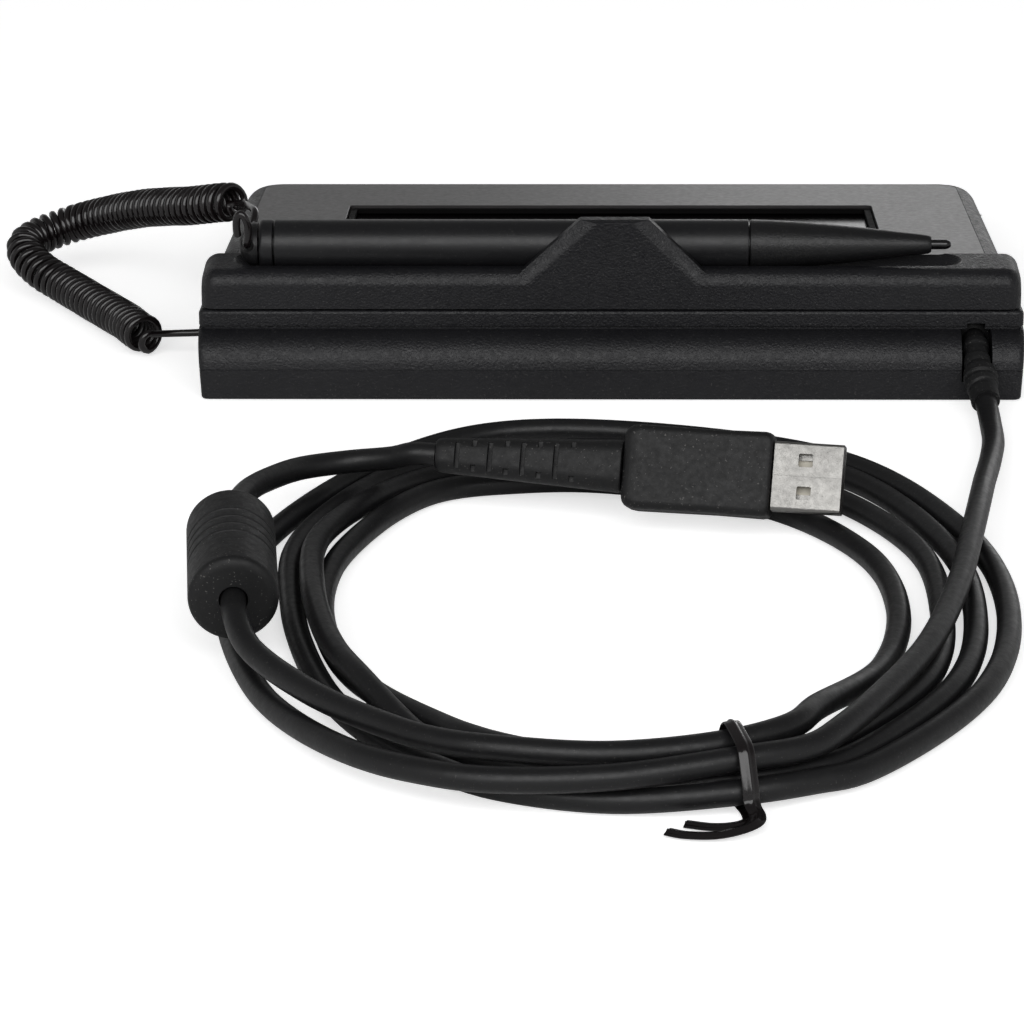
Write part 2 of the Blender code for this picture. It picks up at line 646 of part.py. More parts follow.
def make_flex():
    """Flat ribbon from under the panel down to its socket on the board."""
    under = SENSOR_BOTTOM + 0.45
    route = ((33.4, 9.0), (36.0, 9.2), (38.6, 10.8), (40.8, 13.6), (42.6, plate_z(42.6) - under),
             (46.0, plate_z(46.0) - under))
    rings = []
    for i, (v, z) in enumerate(route):
        before, after = route[max(0, i - 1)], route[min(len(route) - 1, i + 1)]
        run = Vector((after[0] - before[0], after[1] - before[1])).normalized() * 0.15
        rings.append([at(-6, v - run.y, z + run.x), at(6, v - run.y, z + run.x),
                      at(6, v + run.y, z - run.x), at(-6, v + run.y, z - run.x)])
    bm = bmesh.new()
    skin(bm, rings)
    finish_mesh("sensor_flex", bm, "amber")


def make_board():
    bm = bmesh.new()
    box(bm, (-BOARD_HALF, BOARD_HALF), BOARD_V, BOARD_Z)
    board = finish_mesh("circuit_board", bm, "board")
    bm = bmesh.new()
    for x, v in both_sides(BOARD_POSTS):
        post(bm, x, v, 4, 9, 1.5, 10)
    boolean(board, bm, "DIFFERENCE")

    top = BOARD_Z[1] + GAP
    pieces = (
        ("controller_chip", (-24, -12), (38, 50), 1.5, "chip"),
        ("analog_chip", (10, 19), (40, 49), 1.3, "chip"),
        ("crystal", (-34, -29.5), (33, 43), 3.2, "nickel"),
        ("flex_socket", (-8, 8), (28, 33), 2.3, "cream"),
        ("cable_socket", (-47.6, -41), (36.4, 45.6), 4.6, "cream"))
    for name, x, v, tall, finish in pieces:
        bm = bmesh.new()
        box(bm, x, v, (top, top + tall), 0.3)
        finish_mesh(name, bm, finish)
    for i in range(2):
        v = 34 + 9 * i
        bm = bmesh.new()
        box(bm, (26, 28.6), (v, v + 5), (top, top + 1.9), 0.2)
        finish_mesh(f"capacitor_{i + 1}", bm, "amber")

    bm = bmesh.new()
    box(bm, (-54.1, -47.9), (37.4, 44.6), (top, top + 4.0), 0.3)
    finish_mesh("inner_plug", bm, "cream")
    route = smooth_route(INNER_LEAD, 9.0)
    tube("inner_lead", route, INNER_LEAD_D, "cable")


def screw(name, x, v, head, tip, head_r, thread_r, tall):
    """Screw with its head's flat side at z head and its tip at z tip."""
    away = math.copysign(1, head - tip)
    place = Matrix.Translation(at(x, v, 0)) @ Matrix.Rotation(-math.pi / 2, 4, "Y")
    bm = bmesh.new()
    turned_body(bm, ((head + away * tall, head_r * 0.75), (head + away * tall * 0.6, head_r),
                     (head, head_r), (head, thread_r), (tip, thread_r)), 12, place=place)
    finish_mesh(name, bm, "steel")


def make_screws():
    for i, (x, v) in enumerate(both_sides((REAR_BOSS,))):
        screw(f"case_screw_{i + 1}", x, v, 4.2, 17.0, 2.7, 1.2, 1.6)
    for i, (x, v) in enumerate(both_sides((FRONT_BOSS,))):
        screw(f"case_screw_{i + 3}", x, v, 2.6, 8.6, 2.7, 1.2, 1.6)
    for i, (x, v) in enumerate(both_sides(BOARD_POSTS)):
        screw(f"board_screw_{i + 1}", x, v, BOARD_Z[1] + GAP, 3.6, 2.4, 0.9, 1.4)
    for i, (x, v) in enumerate(CLAMP_POSTS):
        screw(f"clamp_screw_{i + 1}", x, v, 8.6, 4.0, 1.9, 0.8, 1.2)

    bm = bmesh.new()
    (low, v), (high, _) = CLAMP_POSTS
    box(bm, (low - 2.2, high + 2.2), (v - 2.2, v + 2.2), (7.1, 8.3), 0.2)
    clamp = finish_mesh("cable_clamp", bm, "steel")
    bm = bmesh.new()
    for x, v in CLAMP_POSTS:
        post(bm, x, v, 6, 10, 1.1, 10)
    boolean(clamp, bm, "DIFFERENCE")


# Pen

def make_pen():
    axis = bpy.data.objects.new("pen_axis", None)
    bpy.context.collection.objects.link(axis)
    axis.location = at(0, PEN_V, PEN_Z)

    stem, bore = 3.6, 3.9
    turned("pen_cap", ((56.0, 1.7), (56.0, stem), (CAP_X[0], stem), (CAP_X[0], PEN_R - 0.25),
                       (CAP_X[0] + 0.4, PEN_R), (CAP_X[1] - 0.5, PEN_R), (CAP_X[1], PEN_R - 0.5),
                       (CAP_X[1], 1.7)), 20, "pen", axis, loop=True)
    turned("pen_barrel", ((BARREL_X[0], bore), (BARREL_X[0], PEN_R), (BARREL_X[1], PEN_R),
                          (BARREL_X[1], bore)), 20, "pen", axis, loop=True)
    tip = NOSE_X[0]
    turned("pen_nose", ((tip, 1.2), (tip, 1.5), (tip + 0.5, 1.75), (tip + 8, 2.6), (tip + 17, 3.6),
                        (tip + 26, 4.35), (NOSE_X[1], PEN_R), (NOSE_X[1], stem),
                        (NOSE_X[1] + 8, stem), (NOSE_X[1] + 8, 1.5), (tip + 5, 1.2)),
           20, "pen", axis, loop=True)
    turned("pen_nib", ((NIB_X[0], 0.4), (NIB_X[0] + 0.4, 0.8), (NIB_X[0] + 1.2, 0.95),
                       (NIB_X[1], 0.95)), 12, "chip", axis)
    turned("pen_core", ((NIB_X[1] + GAP, 0.9), (-17.8, 0.9), (-16, 3.2), (52, 3.2)), 12, "ferrite", axis)

    bm = bmesh.new()
    turned_body(bm, ((58.0, 1.4), (DOME[0][0], 1.4), *DOME), 16)
    eyelet = finish_mesh("pen_eyelet", bm, "tether", axis)
    bm = bmesh.new()
    hole = Matrix.Translation(Vector((EYE[0], 0, EYE[1])) * MM) @ Matrix.Rotation(math.pi / 2, 4, "Z")
    turned_body(bm, ((-6, EYE_R), (6, EYE_R)), 12, place=hole)
    boolean(eyelet, bm, "DIFFERENCE")


# Tether

def coiled(axis_in, axis, axis_out):
    """Curls around the axis route, with straight ends; the pitch opens in the bend."""
    whole = smooth_route((*axis_in, *axis, *axis_out), 0.4)
    along = lengths_along(whole)
    start = along[np.argmin(np.linalg.norm(whole - np.array(axis[0]), axis=1))]
    end = along[np.argmin(np.linalg.norm(whole - np.array(axis[-1]), axis=1))]
    run = np.gradient(whole, along, axis=0)
    run /= np.linalg.norm(run, axis=1)[:, None]
    bend = np.linalg.norm(np.gradient(run, along, axis=0), axis=1)
    bend = np.convolve(np.pad(bend, 8, mode="edge"), np.ones(17) / 17, mode="valid")
    inside = (along >= start) & (along <= end)
    pitch = np.maximum(COIL_PITCH, (TETHER_D + COIL_LEAST) / (1 - np.minimum(COIL_R * bend, 0.6)))
    turns = np.concatenate(([0.0], np.cumsum(np.diff(along) * (inside / pitch)[1:])))

    side = np.array((0.0, 0.0, 1.0))
    frames = []
    for tangent in run:
        side = side - tangent * side.dot(tangent)
        side /= np.linalg.norm(side)
        frames.append((side.copy(), np.cross(tangent, side)))

    points = [whole[0], *(np.array(p) for p in axis_in[1:-1])]
    count = int(turns[-1] * 8)
    for k in range(count + 1):
        place = np.interp(k / 8, turns, along)
        i = min(int(np.searchsorted(along, place)), len(whole) - 1)
        reach = COIL_R * min(1.0, (place - start + 0.6) / COIL_EASE, (end - place + 0.6) / COIL_EASE)
        phase = 2 * math.pi * k / 8
        centre = np.array([np.interp(place, along, whole[:, n]) for n in range(3)])
        points.append(centre + reach * (math.cos(phase) * frames[i][0] + math.sin(phase) * frames[i][1]))
    points += [np.array(p) for p in axis_out]
    return np.array(points), turns[-1]


def make_tether():
    points, turns = coiled(TETHER_IN, TETHER_AXIS, TETHER_OUT)
    tube("tether_coil", points, TETHER_D, "tether", resolution=1)
    print(f"tether: {turns:.0f} curls, {lengths_along(points)[-1]:.0f} mm")
    print("tether:", least_gap(points, TETHER_D, 0.15, 4.0))
    print(f"tether: lowest side at z {points[:, 2].min() - TETHER_D / 2:.2f} mm")
    loop = smooth_route(TETHER_LOOP, 1.6)
    tube("tether_loop", loop, TETHER_D, "tether")
    print("tether loop:", least_gap(loop, TETHER_D, 0.1, 4.5))

    bm = bmesh.new()
    hole = Matrix.Translation(at(0, *TETHER_HOLE))
    turned_body(bm, ((68.8, 1.2), (69.4, 1.65), (72.8, 1.65), (73.5, 1.4)), 12, place=hole)
    finish_mesh("tether_anchor", bm, "rubber")


# Cable

def bundle_turns():
    """Turn after turn of the hand-wound bundle, in the order in which the cable runs."""
    points = []
    for turn in range(5):
        for direction, passes in BUNDLE.items():
            if turn < len(passes):
                reach, z = passes[turn]
                angle = math.radians(direction)
                points.append((reach * math.cos(angle), BUNDLE_V - reach * math.sin(angle), z))
    return points


def bead_frame():
    heading, tilt = math.radians(BEAD_HEADING), math.radians(BEAD_TILT)
    run = Vector((math.cos(heading) * math.cos(tilt), math.sin(heading) * math.cos(tilt),
                  math.sin(tilt)))
    side = Vector((-math.sin(heading), math.cos(heading), 0))
    place = Matrix((run, side, run.cross(side))).transposed().to_4x4()
    place.translation = at(*BEAD_AT)
    return place


def plug_frame():
    heading, lean = math.radians(PLUG_HEADING), math.radians(PLUG_LEAN)
    run = Vector((math.cos(heading), math.sin(heading), 0))
    level = Vector((-math.sin(heading), math.cos(heading), 0))
    up = Vector((0, 0, 1)) * math.cos(lean) + level * math.sin(lean)
    place = Matrix((run, up, run.cross(up))).transposed().to_4x4()
    place.translation = at(*PLUG_AT)
    return place


def route_point(place, x):
    """(x, v, z) of a point on the local X axis of a frame."""
    world = place @ Vector((x * MM, 0, 0))
    return (world.x / MM, DEPTH / 2 - world.y / MM, world.z / MM)


def empty(name, place):
    made = bpy.data.objects.new(name, None)
    bpy.context.collection.objects.link(made)
    made.matrix_world = place
    bpy.context.view_layer.update()
    return made


def make_cable():
    bead, plug = bead_frame(), plug_frame()
    end = -BODY_LONG - GAP - RELIEF_LONG - GAP
    route = list(CABLE_OUT) + bundle_turns()
    route += [route_point(bead, x) for x in (-CABLE_D, 0.0, BEAD_LONG, BEAD_LONG + CABLE_D)]
    route += list(CABLE_BACK)
    route += [route_point(plug, x) for x in (end - CABLE_D, end)]
    points = smooth_route(route, 22.0)
    points[:, 2] = np.maximum(points[:, 2], CABLE_D / 2)
    tube("usb_cable", points, CABLE_D, "cable", resolution=1)
    print(f"cable: {lengths_along(points)[-1]:.0f} mm, {len(points)} points")
    print("cable:", least_gap(points, CABLE_D, 1.0, 16.0))
    print(f"cable: lowest side at z {points[:, 2].min() - CABLE_D / 2:.2f} mm")


def make_boot():
    """Bent ribbed sleeve: rings of unlike radius along its route."""
    route = [np.array(p[:3]) for p in BOOT]
    rings = []
    for i, (x, v, z, radius) in enumerate(BOOT):
        run = at(*route[min(i + 1, len(route) - 1)]) - at(*route[max(i - 1, 0)])
        across = Vector((1, 0, 0))
        across = (across - run * across.dot(run) / run.length_squared).normalized()
        up = run.cross(across).normalized()
        ring = []
        for k in range(12):
            turn = 2 * math.pi * k / 12
            spoke = across * math.cos(turn) + up * math.sin(turn)
            ring.append(at(x, v, z) + spoke * radius * MM)
        rings.append(ring)
    bm = bmesh.new()
    skin(bm, rings)
    finish_mesh("cable_boot", bm, "rubber")


def make_bead():
    parent = empty("bead_frame", bead_frame())
    bore, room = 2.4, 6.1
    profile = [(0.0, bore), (0.0, 5.8), (0.35, 6.8), (1.1, BEAD_R)]
    for i in range(4):
        x = BEAD_GROOVES + 2.93 * i
        profile += [(x - 0.9, BEAD_R), (x - 0.5, BEAD_R - 0.5), (x + 0.5, BEAD_R - 0.5),
                    (x + 0.9, BEAD_R)]
    profile += [(BEAD_LONG - x, radius) for x, radius in ((1.1, BEAD_R), (0.35, 6.8), (0.0, 5.8),
                                                          (0.0, bore))]
    profile += [(BEAD_LONG - 2.5, bore), (BEAD_LONG - 2.5, room), (2.5, room), (2.5, bore)]
    turned("ferrite_cover", profile, 14, "rubber", parent, loop=True)
    turned("ferrite_core", ((2.9, bore + 0.1), (2.9, room - 0.4), (BEAD_LONG - 2.9, room - 0.4),
                            (BEAD_LONG - 2.9, bore + 0.1)), 12, "ferrite", parent, loop=True)


def plug_section(x, wide, thick, corner):
    """Ring across the plug at station x: wide along its local Y, thick along local Z."""
    outline = rounded_outline((-wide / 2, wide / 2), (-thick / 2, thick / 2), corner, 2)
    return [Vector((x, y, z)) * MM for y, z in outline]


def make_plug():
    parent = empty("plug_frame", plug_frame())

    bm = bmesh.new()
    sections = ((0.0, 1.6, 2.4), (0.7, 0.6, 1.6), (2.0, 0.0, 1.4), (BODY_LONG - 2.2, 0.0, 1.4),
                (BODY_LONG - 0.8, 0.9, 1.6), (BODY_LONG, 2.6, 1.4))
    skin(bm, [plug_section(-x, BODY_WIDE - cut, BODY_THICK - cut, corner)
              for x, cut, corner in sections])
    finish_mesh("plug_body", bm, "rubber", parent)

    bm = bmesh.new()
    rings = []
    start = -BODY_LONG - GAP
    first, pitch, count = RELIEF_SLOTS
    stations = [(0.0, 0.0)]
    for i in range(count):
        x = first + pitch * i
        deep = 1.5 if i % 2 else 0.9
        stations += [(x - 0.5, 0.0), (x - 0.4, deep), (x + 0.4, deep), (x + 0.5, 0.0)]
    stations.append((RELIEF_LONG, 0.0))
    for x, deep in stations:
        share = x / RELIEF_LONG
        wide = RELIEF_WIDE[1] + (RELIEF_WIDE[0] - RELIEF_WIDE[1]) * share - deep
        thick = RELIEF_THICK[1] + (RELIEF_THICK[0] - RELIEF_THICK[1]) * share - deep
        rings.append(plug_section(start - x, wide, thick, min(thick, wide) * 0.42))
    skin(bm, rings)
    finish_mesh("plug_relief", bm, "rubber", parent)

    long, wide, thick = SHELL
    inner_wide, inner_thick = wide - 2 * SHELL_WALL, thick - 2 * SHELL_WALL
    bm = bmesh.new()
    skin(bm, [plug_section(GAP, inner_wide, inner_thick, 0.3), plug_section(GAP, wide, thick, 0.6),
              plug_section(GAP + long, wide, thick, 0.6),
              plug_section(GAP + long, inner_wide, inner_thick, 0.3)], loop=True)
    shell = finish_mesh("plug_shell", bm, "nickel", parent)
    bm = bmesh.new()
    for side in (-1, 1):
        ring = [(x, side * y) for x, y in ((4.6, 1.7), (7.1, 1.7), (7.1, 4.0), (4.6, 4.0))]
        skin(bm, [[Vector((x, y, z)) * MM for x, y in ring] for z in (-4, 4)])
    boolean(shell, bm, "DIFFERENCE")

    bm = bmesh.new()
    low = -inner_thick / 2 + GAP
    ring = [(y, z) for y, z in ((-5.3, low), (5.3, low), (5.3, low + 1.6), (-5.3, low + 1.6))]
    skin(bm, [[Vector((x, y, z)) * MM for y, z in ring] for x in (GAP, GAP + long - 0.6)])
    finish_mesh("plug_tongue", bm, "chip", parent)
    base = low + 1.6 + GAP
    for i, y in enumerate((-3.5, -1.0, 1.0, 3.5)):
        ring = ((y - 0.5, base), (y + 0.5, base), (y + 0.5, base + 0.2), (y - 0.5, base + 0.2))
        bm = bmesh.new()
        skin(bm, [[Vector((x, py, z)) * MM for py, z in ring] for x in (1.0, GAP + long - 1.6)])
        finish_mesh(f"plug_contact_{i + 1}", bm, "gold", parent)


def tie_band():
    """(reach, z) of the strip's middle round the strands, each with the way it faces."""
    clear = CABLE_D / 2 + TIE_CLEAR + TIE_THICK / 2
    band = []
    for turn in range(0, 271, 15):
        away = (math.cos(math.radians(turn)), math.sin(math.radians(turn)))
        reach, z = max(BUNDLE[TIE_AT], key=lambda s: s[0] * away[0] + s[1] * away[1])
        band.append(((reach + away[0] * clear, 0.0, z + away[1] * clear), (away[0], 0.0, away[1])))
    return band


def make_tie():
    """Flat strip round the bundle; its ends cross on the outer side and lie on the table."""
    angle = math.radians(TIE_AT)
    outward = Vector((math.cos(angle), math.sin(angle), 0))
    across = Vector((-math.sin(angle), math.cos(angle), 0))
    up = Vector((0, 0, 1))
    centre = at(0, BUNDLE_V, 0)

    def world(reach, shift, z):
        return outward * reach + across * shift + up * z

    route = [(p, (0, 0, 1)) for p in reversed(TIE_UPPER_TAIL)]
    route += tie_band()
    route += [(p, (0, 0, -1)) for p in TIE_LOWER_TAIL]
    rings = []
    for i, (place, normal) in enumerate(route):
        before, after = route[max(i - 1, 0)][0], route[min(i + 1, len(route) - 1)][0]
        run = (world(*after) - world(*before)).normalized()
        wide = run.cross(world(*normal)).normalized()
        thick = wide.cross(run).normalized() * (TIE_THICK / 2 * MM)
        wide *= TIE_WIDE / 2 * MM
        middle = centre + world(*place) * MM
        rings.append([middle - wide - thick, middle + wide - thick,
                      middle + wide + thick, middle - wide + thick])
    bm = bmesh.new()
    skin(bm, rings)
    finish_mesh("cable_tie", bm, "tether")


def main():
    clear_scene()
    make_upper_housing()
    make_lower_housing()
    make_feet()
    make_writing_surface()
    make_window_gasket()
    make_sensor()
    make_flex()
    make_board()
    make_screws()
    make_pen()
    make_tether()
    make_cable()
    make_boot()
    make_bead()
    make_plug()
    make_tie()


main()
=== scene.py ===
"""Looks of a signature pad with a tethered pen and a tied cable.

Depths are given as v, the distance in millimetres from the pad's rear face
towards its user; behind the pad v is negative. Heights are z, in millimetres.
"""
import json
import math

import bmesh
import bpy
import numpy as np
from mathutils import Matrix, Vector

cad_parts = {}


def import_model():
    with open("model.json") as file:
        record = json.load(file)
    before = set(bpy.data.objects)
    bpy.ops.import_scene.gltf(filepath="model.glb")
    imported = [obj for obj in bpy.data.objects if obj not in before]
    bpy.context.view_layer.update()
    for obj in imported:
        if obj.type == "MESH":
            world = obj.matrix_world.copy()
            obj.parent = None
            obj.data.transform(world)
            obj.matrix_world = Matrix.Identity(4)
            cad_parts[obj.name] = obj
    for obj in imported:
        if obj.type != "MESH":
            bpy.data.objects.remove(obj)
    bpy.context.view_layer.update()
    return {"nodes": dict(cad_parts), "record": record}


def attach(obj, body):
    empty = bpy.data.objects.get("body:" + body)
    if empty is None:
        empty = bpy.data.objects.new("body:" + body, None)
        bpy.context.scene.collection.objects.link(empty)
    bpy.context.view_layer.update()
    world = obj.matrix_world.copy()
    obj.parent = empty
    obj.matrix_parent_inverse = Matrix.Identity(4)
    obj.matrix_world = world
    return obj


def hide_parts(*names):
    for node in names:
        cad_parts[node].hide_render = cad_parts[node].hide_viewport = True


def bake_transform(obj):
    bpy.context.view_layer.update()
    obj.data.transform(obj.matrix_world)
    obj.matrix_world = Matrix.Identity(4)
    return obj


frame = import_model()

MM = 0.001
UP = Vector((0, 0, 1))

# Camera, in pixels of the photograph, degrees and millimetres
PHOTO_SIZE = 1024
FOCAL_PIXELS = 4577.4
PITCH_DOWN = 21.02
YAW = -1.24
ROLL = -0.35
EYE = (1.088, -812.4, 289.8)

# Pad
HEAD_HALF = (77.8, 77.35)
BODY_HALF = 75.6
HEAD_V = 18.4
DEPTH = 105.0
WALL_V = 6.05
LEDGE_Z = 23.4
LEDGE_V = 18.0
LEDGE_ROUND = 3.0
PLATE_REAR_Z = 21.95
PLATE_SLOPE = math.tan(math.radians(7.25))
PLATE_FRONT_V = 103.3
PLATE_HALF = 71.7
PLATE_CORNER = 4.6
PLATE_SEAM = 0.06
HEAD_ROUND = 3.0
REAR_CORNER = 1.2
FRONT_CORNER = 8.0
TOP_ROUND = (4.0, 1.5)
SPLIT_REAR_Z = 16.0
SPLIT_SLOPE = 0.104
SIDE_DRAFT = 0.05
UNDERSIDE_Z = 0.15
STRIP_Z = 6.0
SHOULDER_Z = 12.2
SPLIT_GAP = 0.3
STAND_BACK = 0.02
CAVITY_HALF = 73.9
CAVITY_FRONT_V = 99.0
WALL = 2.2
FLOOR_Z = 2.7
LEDGE_ROOF_Z = 19.4
LOWER_CUT_Z = 19.0

PLATE_THICK = 1.2
POCKET_DEEP = 1.5
DECK_BOTTOM = 3.8
WINDOW_HALF = 52.9
WINDOW_V = (46.2, 78.2)
SENSOR_HALF = 57.0
SENSOR_V = (41.2, 83.2)

REAR_BOSS = (56.0, 15.0)
FRONT_BOSS = (66.0, 92.0)
REAR_FOOT = (66.0, 8.0)
FRONT_FOOT = (62.0, 78.0)
FOOT_PROFILE = ((0, 0.0), (0, 4.2), (0.12, 4.5), (0.45, 4.85), (1.3, 4.9), (1.3, 0.0))

# Posts and pockets round the fixings: place, lower and upper z
UPPER_BOSSES = ((REAR_BOSS, 10.4, 20.2), (FRONT_BOSS, 6.0, 9.3))
UPPER_BOSS_R = 3.6
LOWER_BOSSES = ((REAR_BOSS, 1.6, 10.1), (FRONT_BOSS, 1.6, 5.7))
LOWER_BOSS_R = 4.0
SCREW_POCKETS = ((REAR_BOSS, -1, 4.5), (FRONT_BOSS, -1, 2.9))
SCREW_POCKET_R = 3.0
FOOT_POCKETS = ((REAR_FOOT, -1, 1.6), (FRONT_FOOT, -1, 1.6))
FOOT_POCKET_R = 5.2

# Pen and its stop
PEN_V = 14.2
PEN_Z = 26.4
PEN_R = 4.7
GROOVE_R = 5.0
GROOVE_X = (-67.3, 72.5)
CAP_X = (63.8, 66.4)
BARREL_X = (-26.0, 63.5)
NOSE_X = (-60.5, -26.3)
NIB_X = (-64.3, -57.5)
DOME = ((66.7, 4.05), (67.5, 4.15), (68.4, 3.9), (69.2, 3.3), (69.9, 2.3), (70.3, 1.0))
EYE_HOLE = (68.6, 1.0, 1.3)
STOP_BASE = (-18.8, 18.2)
STOP_TOP = (-7.2, 5.7)
STOP_TOP_Z = 33.4
STOP_BASE_Z = 22.0
STOP_V = (6.05, 7.2, 9.1)
STOP_BEVEL = (4.05, 0.45)

# Tether
TETHER_D = 1.5
COIL_R = 3.15
COIL_PITCH = 1.95
COIL_TIGHTEST = 1.1
COIL_EASE = 1.6
COIL_LEAD = 0.6
TETHER_HOLE = (25.0, 5.2)
TETHER_BORE = (72, 80, 1.15)
TETHER_IN = ((73.8, 25.0, 5.2), (76.5, 25.0, 5.2), (80.5, 24.9, 5.0), (85.2, 24.7, 4.7))
TETHER_AXIS = (
    (88.9, 24.5, 4.5), (94.9, 34.3, 4.4), (101.8, 45.2, 4.3), (108.6, 54.9, 4.7),
    (113.7, 59.8, 6.0), (117.2, 64.4, 7.6), (118.1, 68.6, 8.6), (116.3, 72.3, 9.3),
    (110.1, 75.4, 10.9), (104.0, 73.0, 13.3), (93.1, 60.8, 19.0), (81.4, 46.7, 24.0),
    (75.6, 40.9, 26.4), (72.9, 38.5, 27.1))
TETHER_OUT = ((71.9, 35.6, 27.8), (70.8, 32.6, 28.6))
TETHER_LOOP = (
    (70.7, 32.3, 28.66), (69.2, 27.0, 29.7), (67.9, 22.4, 30.2), (67.9, 20.5, 29.3),
    (68.4, 19.4, 27.9), (68.6, 17.9, 27.4), (68.6, 14.2, 27.4), (68.6, 10.5, 27.4),
    (68.5, 9.1, 28.2), (68.2, 8.3, 30.0), (68.2, 7.9, 32.2), (68.7, 7.8, 33.7),
    (69.4, 7.9, 34.3), (70.1, 8.1, 33.6), (70.3, 8.3, 32.2), (70.3, 8.6, 30.9),
    (70.2, 9.0, 29.8))

# Cable, its boot, bead and tie
CABLE_D = 4.15
NOTCH_X = (-71.6, -65.9)
NOTCH_Z = (3.8, 12.2)
SLOT_X = (-70.5, -67.1)
SLOT_TOP_Z = 13.4
BOOT = (
    (-68.75, 11.9, 9.0, 3.3), (-68.75, 10.1, 9.1, 3.3), (-68.75, 9.7, 9.1, 2.2),
    (-68.75, 5.4, 9.2, 2.2), (-68.75, 4.9, 9.2, 2.5), (-68.75, 3.5, 8.9, 2.5),
    (-68.75, 3.1, 8.8, 2.2), (-68.75, 1.6, 8.2, 2.2), (-68.75, 1.1, 7.9, 2.5),
    (-68.8, -0.1, 7.3, 2.5), (-68.9, -0.7, 7.0, 2.4), (-69.0, -1.7, 6.5, 3.0),
    (-69.2, -3.1, 5.7, 3.3), (-69.2, -3.7, 5.4, 2.8), (-69.3, -4.4, 5.1, 3.1),
    (-69.4, -5.6, 4.6, 3.0), (-69.5, -6.2, 4.4, 2.6), (-69.5, -7.0, 4.1, 2.8),
    (-69.6, -7.9, 3.8, 2.75), (-69.7, -9.4, 3.3, 2.7))
CABLE_OUT = (
    (-69.72, -9.7, 3.2), (-69.9, -13.8, 2.6), (-69.9, -19.5, 2.3), (-69.7, -28.0, 2.3),
    (-68.2, -40.0, 3.0), (-65.8, -56.0, 4.8), (-63.6, -72.0, 6.6), (-60.8, -90.0, 7.1))
BUNDLE_V = -109.0
TIE_AT = 105
BUNDLE = {
    180: ((57.5, 7.0), (65.8, 2.2), (60.3, 2.2), (54.8, 2.2), (47.6, 2.2)),
    150: ((57.6, 7.0), (68.4, 2.2), (63.4, 2.2), (58.4, 2.2), (50.4, 2.5)),
    120: ((70.6, 7.7), (76.2, 2.6), (71.3, 2.5), (66.2, 3.0), (62.8, 8.0)),
    114: ((74.2, 7.5), (77.1, 3.1), (72.2, 3.0), (67.5, 3.8), (68.2, 8.7)),
    TIE_AT: ((75.9, 7.9), (78.1, 3.5), (73.2, 3.4), (68.4, 4.0), (71.0, 8.6)),
    90: ((78.2, 7.0), (76.2, 2.3), (71.2, 2.3), (66.7, 4.0), (72.9, 8.4)),
    76: ((79.6, 6.2), (73.3, 2.2), (68.2, 2.2), (63.1, 4.2), (72.6, 8.3)),
    68: ((78.4, 5.6), (69.9, 2.2), (64.8, 2.2), (59.2, 3.4), (71.2, 7.6)),
    60: ((76.0, 4.8), (66.4, 2.2), (60.7, 2.7), (55.2, 2.5), (69.2, 7.4)),
    45: ((69.8, 3.0), (59.9, 2.2), (55.4, 6.0), (51.8, 2.2), (66.8, 7.6)),
    30: ((65.6, 2.2), (55.0, 2.2), (51.8, 6.7), (49.6, 2.2), (66.6, 9.4)),
    0: ((63.5, 2.2), (52.9, 2.2), (49.5, 6.9), (48.0, 2.2)),
    -30: ((67.8, 2.2), (61.6, 2.2), (56.6, 5.0), (52.6, 2.2)),
    -60: ((80.3, 2.2), (74.4, 2.2), (69.0, 2.2), (62.8, 2.2)),
    -75: ((87.6, 2.2), (75.6, 2.2), (70.6, 2.2), (61.8, 2.2)),
    -90: ((86.4, 2.2), (76.8, 2.2), (70.6, 2.2), (59.6, 2.2)),
    -120: ((81.7, 2.2), (76.2, 2.2), (66.8, 2.2), (55.0, 2.2)),
    -150: ((70.4, 2.2), (65.2, 2.2), (59.6, 2.2), (50.2, 2.2)),
}
BEAD_AT = (60.9, -129.5, 12.0)
BEAD_HEADING = -84.8
BEAD_TILT = 3.0
BEAD_LONG = 28.6
BEAD_R = 7.4
BEAD_GROOVES = 11.2
CABLE_BACK = (
    (62.3, -79.6, 11.9), (58.9, -68.0, 10.0), (54.1, -59.6, 8.7), (46.0, -55.0, 8.2),
    (38.4, -56.3, 9.4))
PLUG_AT = (-28.0, -69.3, 10.9)
PLUG_HEADING = 169.9
PLUG_LEAN = 26.7
BODY_LONG = 25.9
BODY_WIDE = 14.8
BODY_THICK = 7.6
RELIEF_LONG = 33.1
RELIEF_WIDE = (6.0, 9.3)
RELIEF_THICK = (5.6, 7.0)
RELIEF_SLOTS = (8.6, 2.94, 8)
SHELL = (12.0, 12.0, 4.5)
SHELL_WALL = 0.35
SHELL_SEAM = (0.12, 0.16)
PLUG_GAP = 0.3
TIE_WIDE = 2.6
TIE_THICK = 1.0
TIE_CLEAR = 0.42
TIE_UPPER_TAIL = (
    (81.9, 0.1, 2.6), (83.6, 0.2, 2.05), (86.0, -0.8, 1.9), (87.0, -3.4, 1.5),
    (86.6, -7.0, 0.9), (84.6, -11.5, 0.6), (82.9, -13.6, 0.6))
TIE_LOWER_TAIL = (
    (80.6, 0.0, 0.56), (82.4, -0.6, 0.56), (83.4, -2.8, 0.56), (83.0, -6.5, 0.56),
    (80.9, -10.2, 0.56))

# Materials: noise features per metre, and where in the noise a speck of dust begins
BROAD_SCALE = 60.0
FINE_SCALE = 900.0
DUST_SCALE = 2600.0
DUST_SPAN = (0.69, 0.76)
DUST_COLOUR = (0.25, 0.24, 0.23)

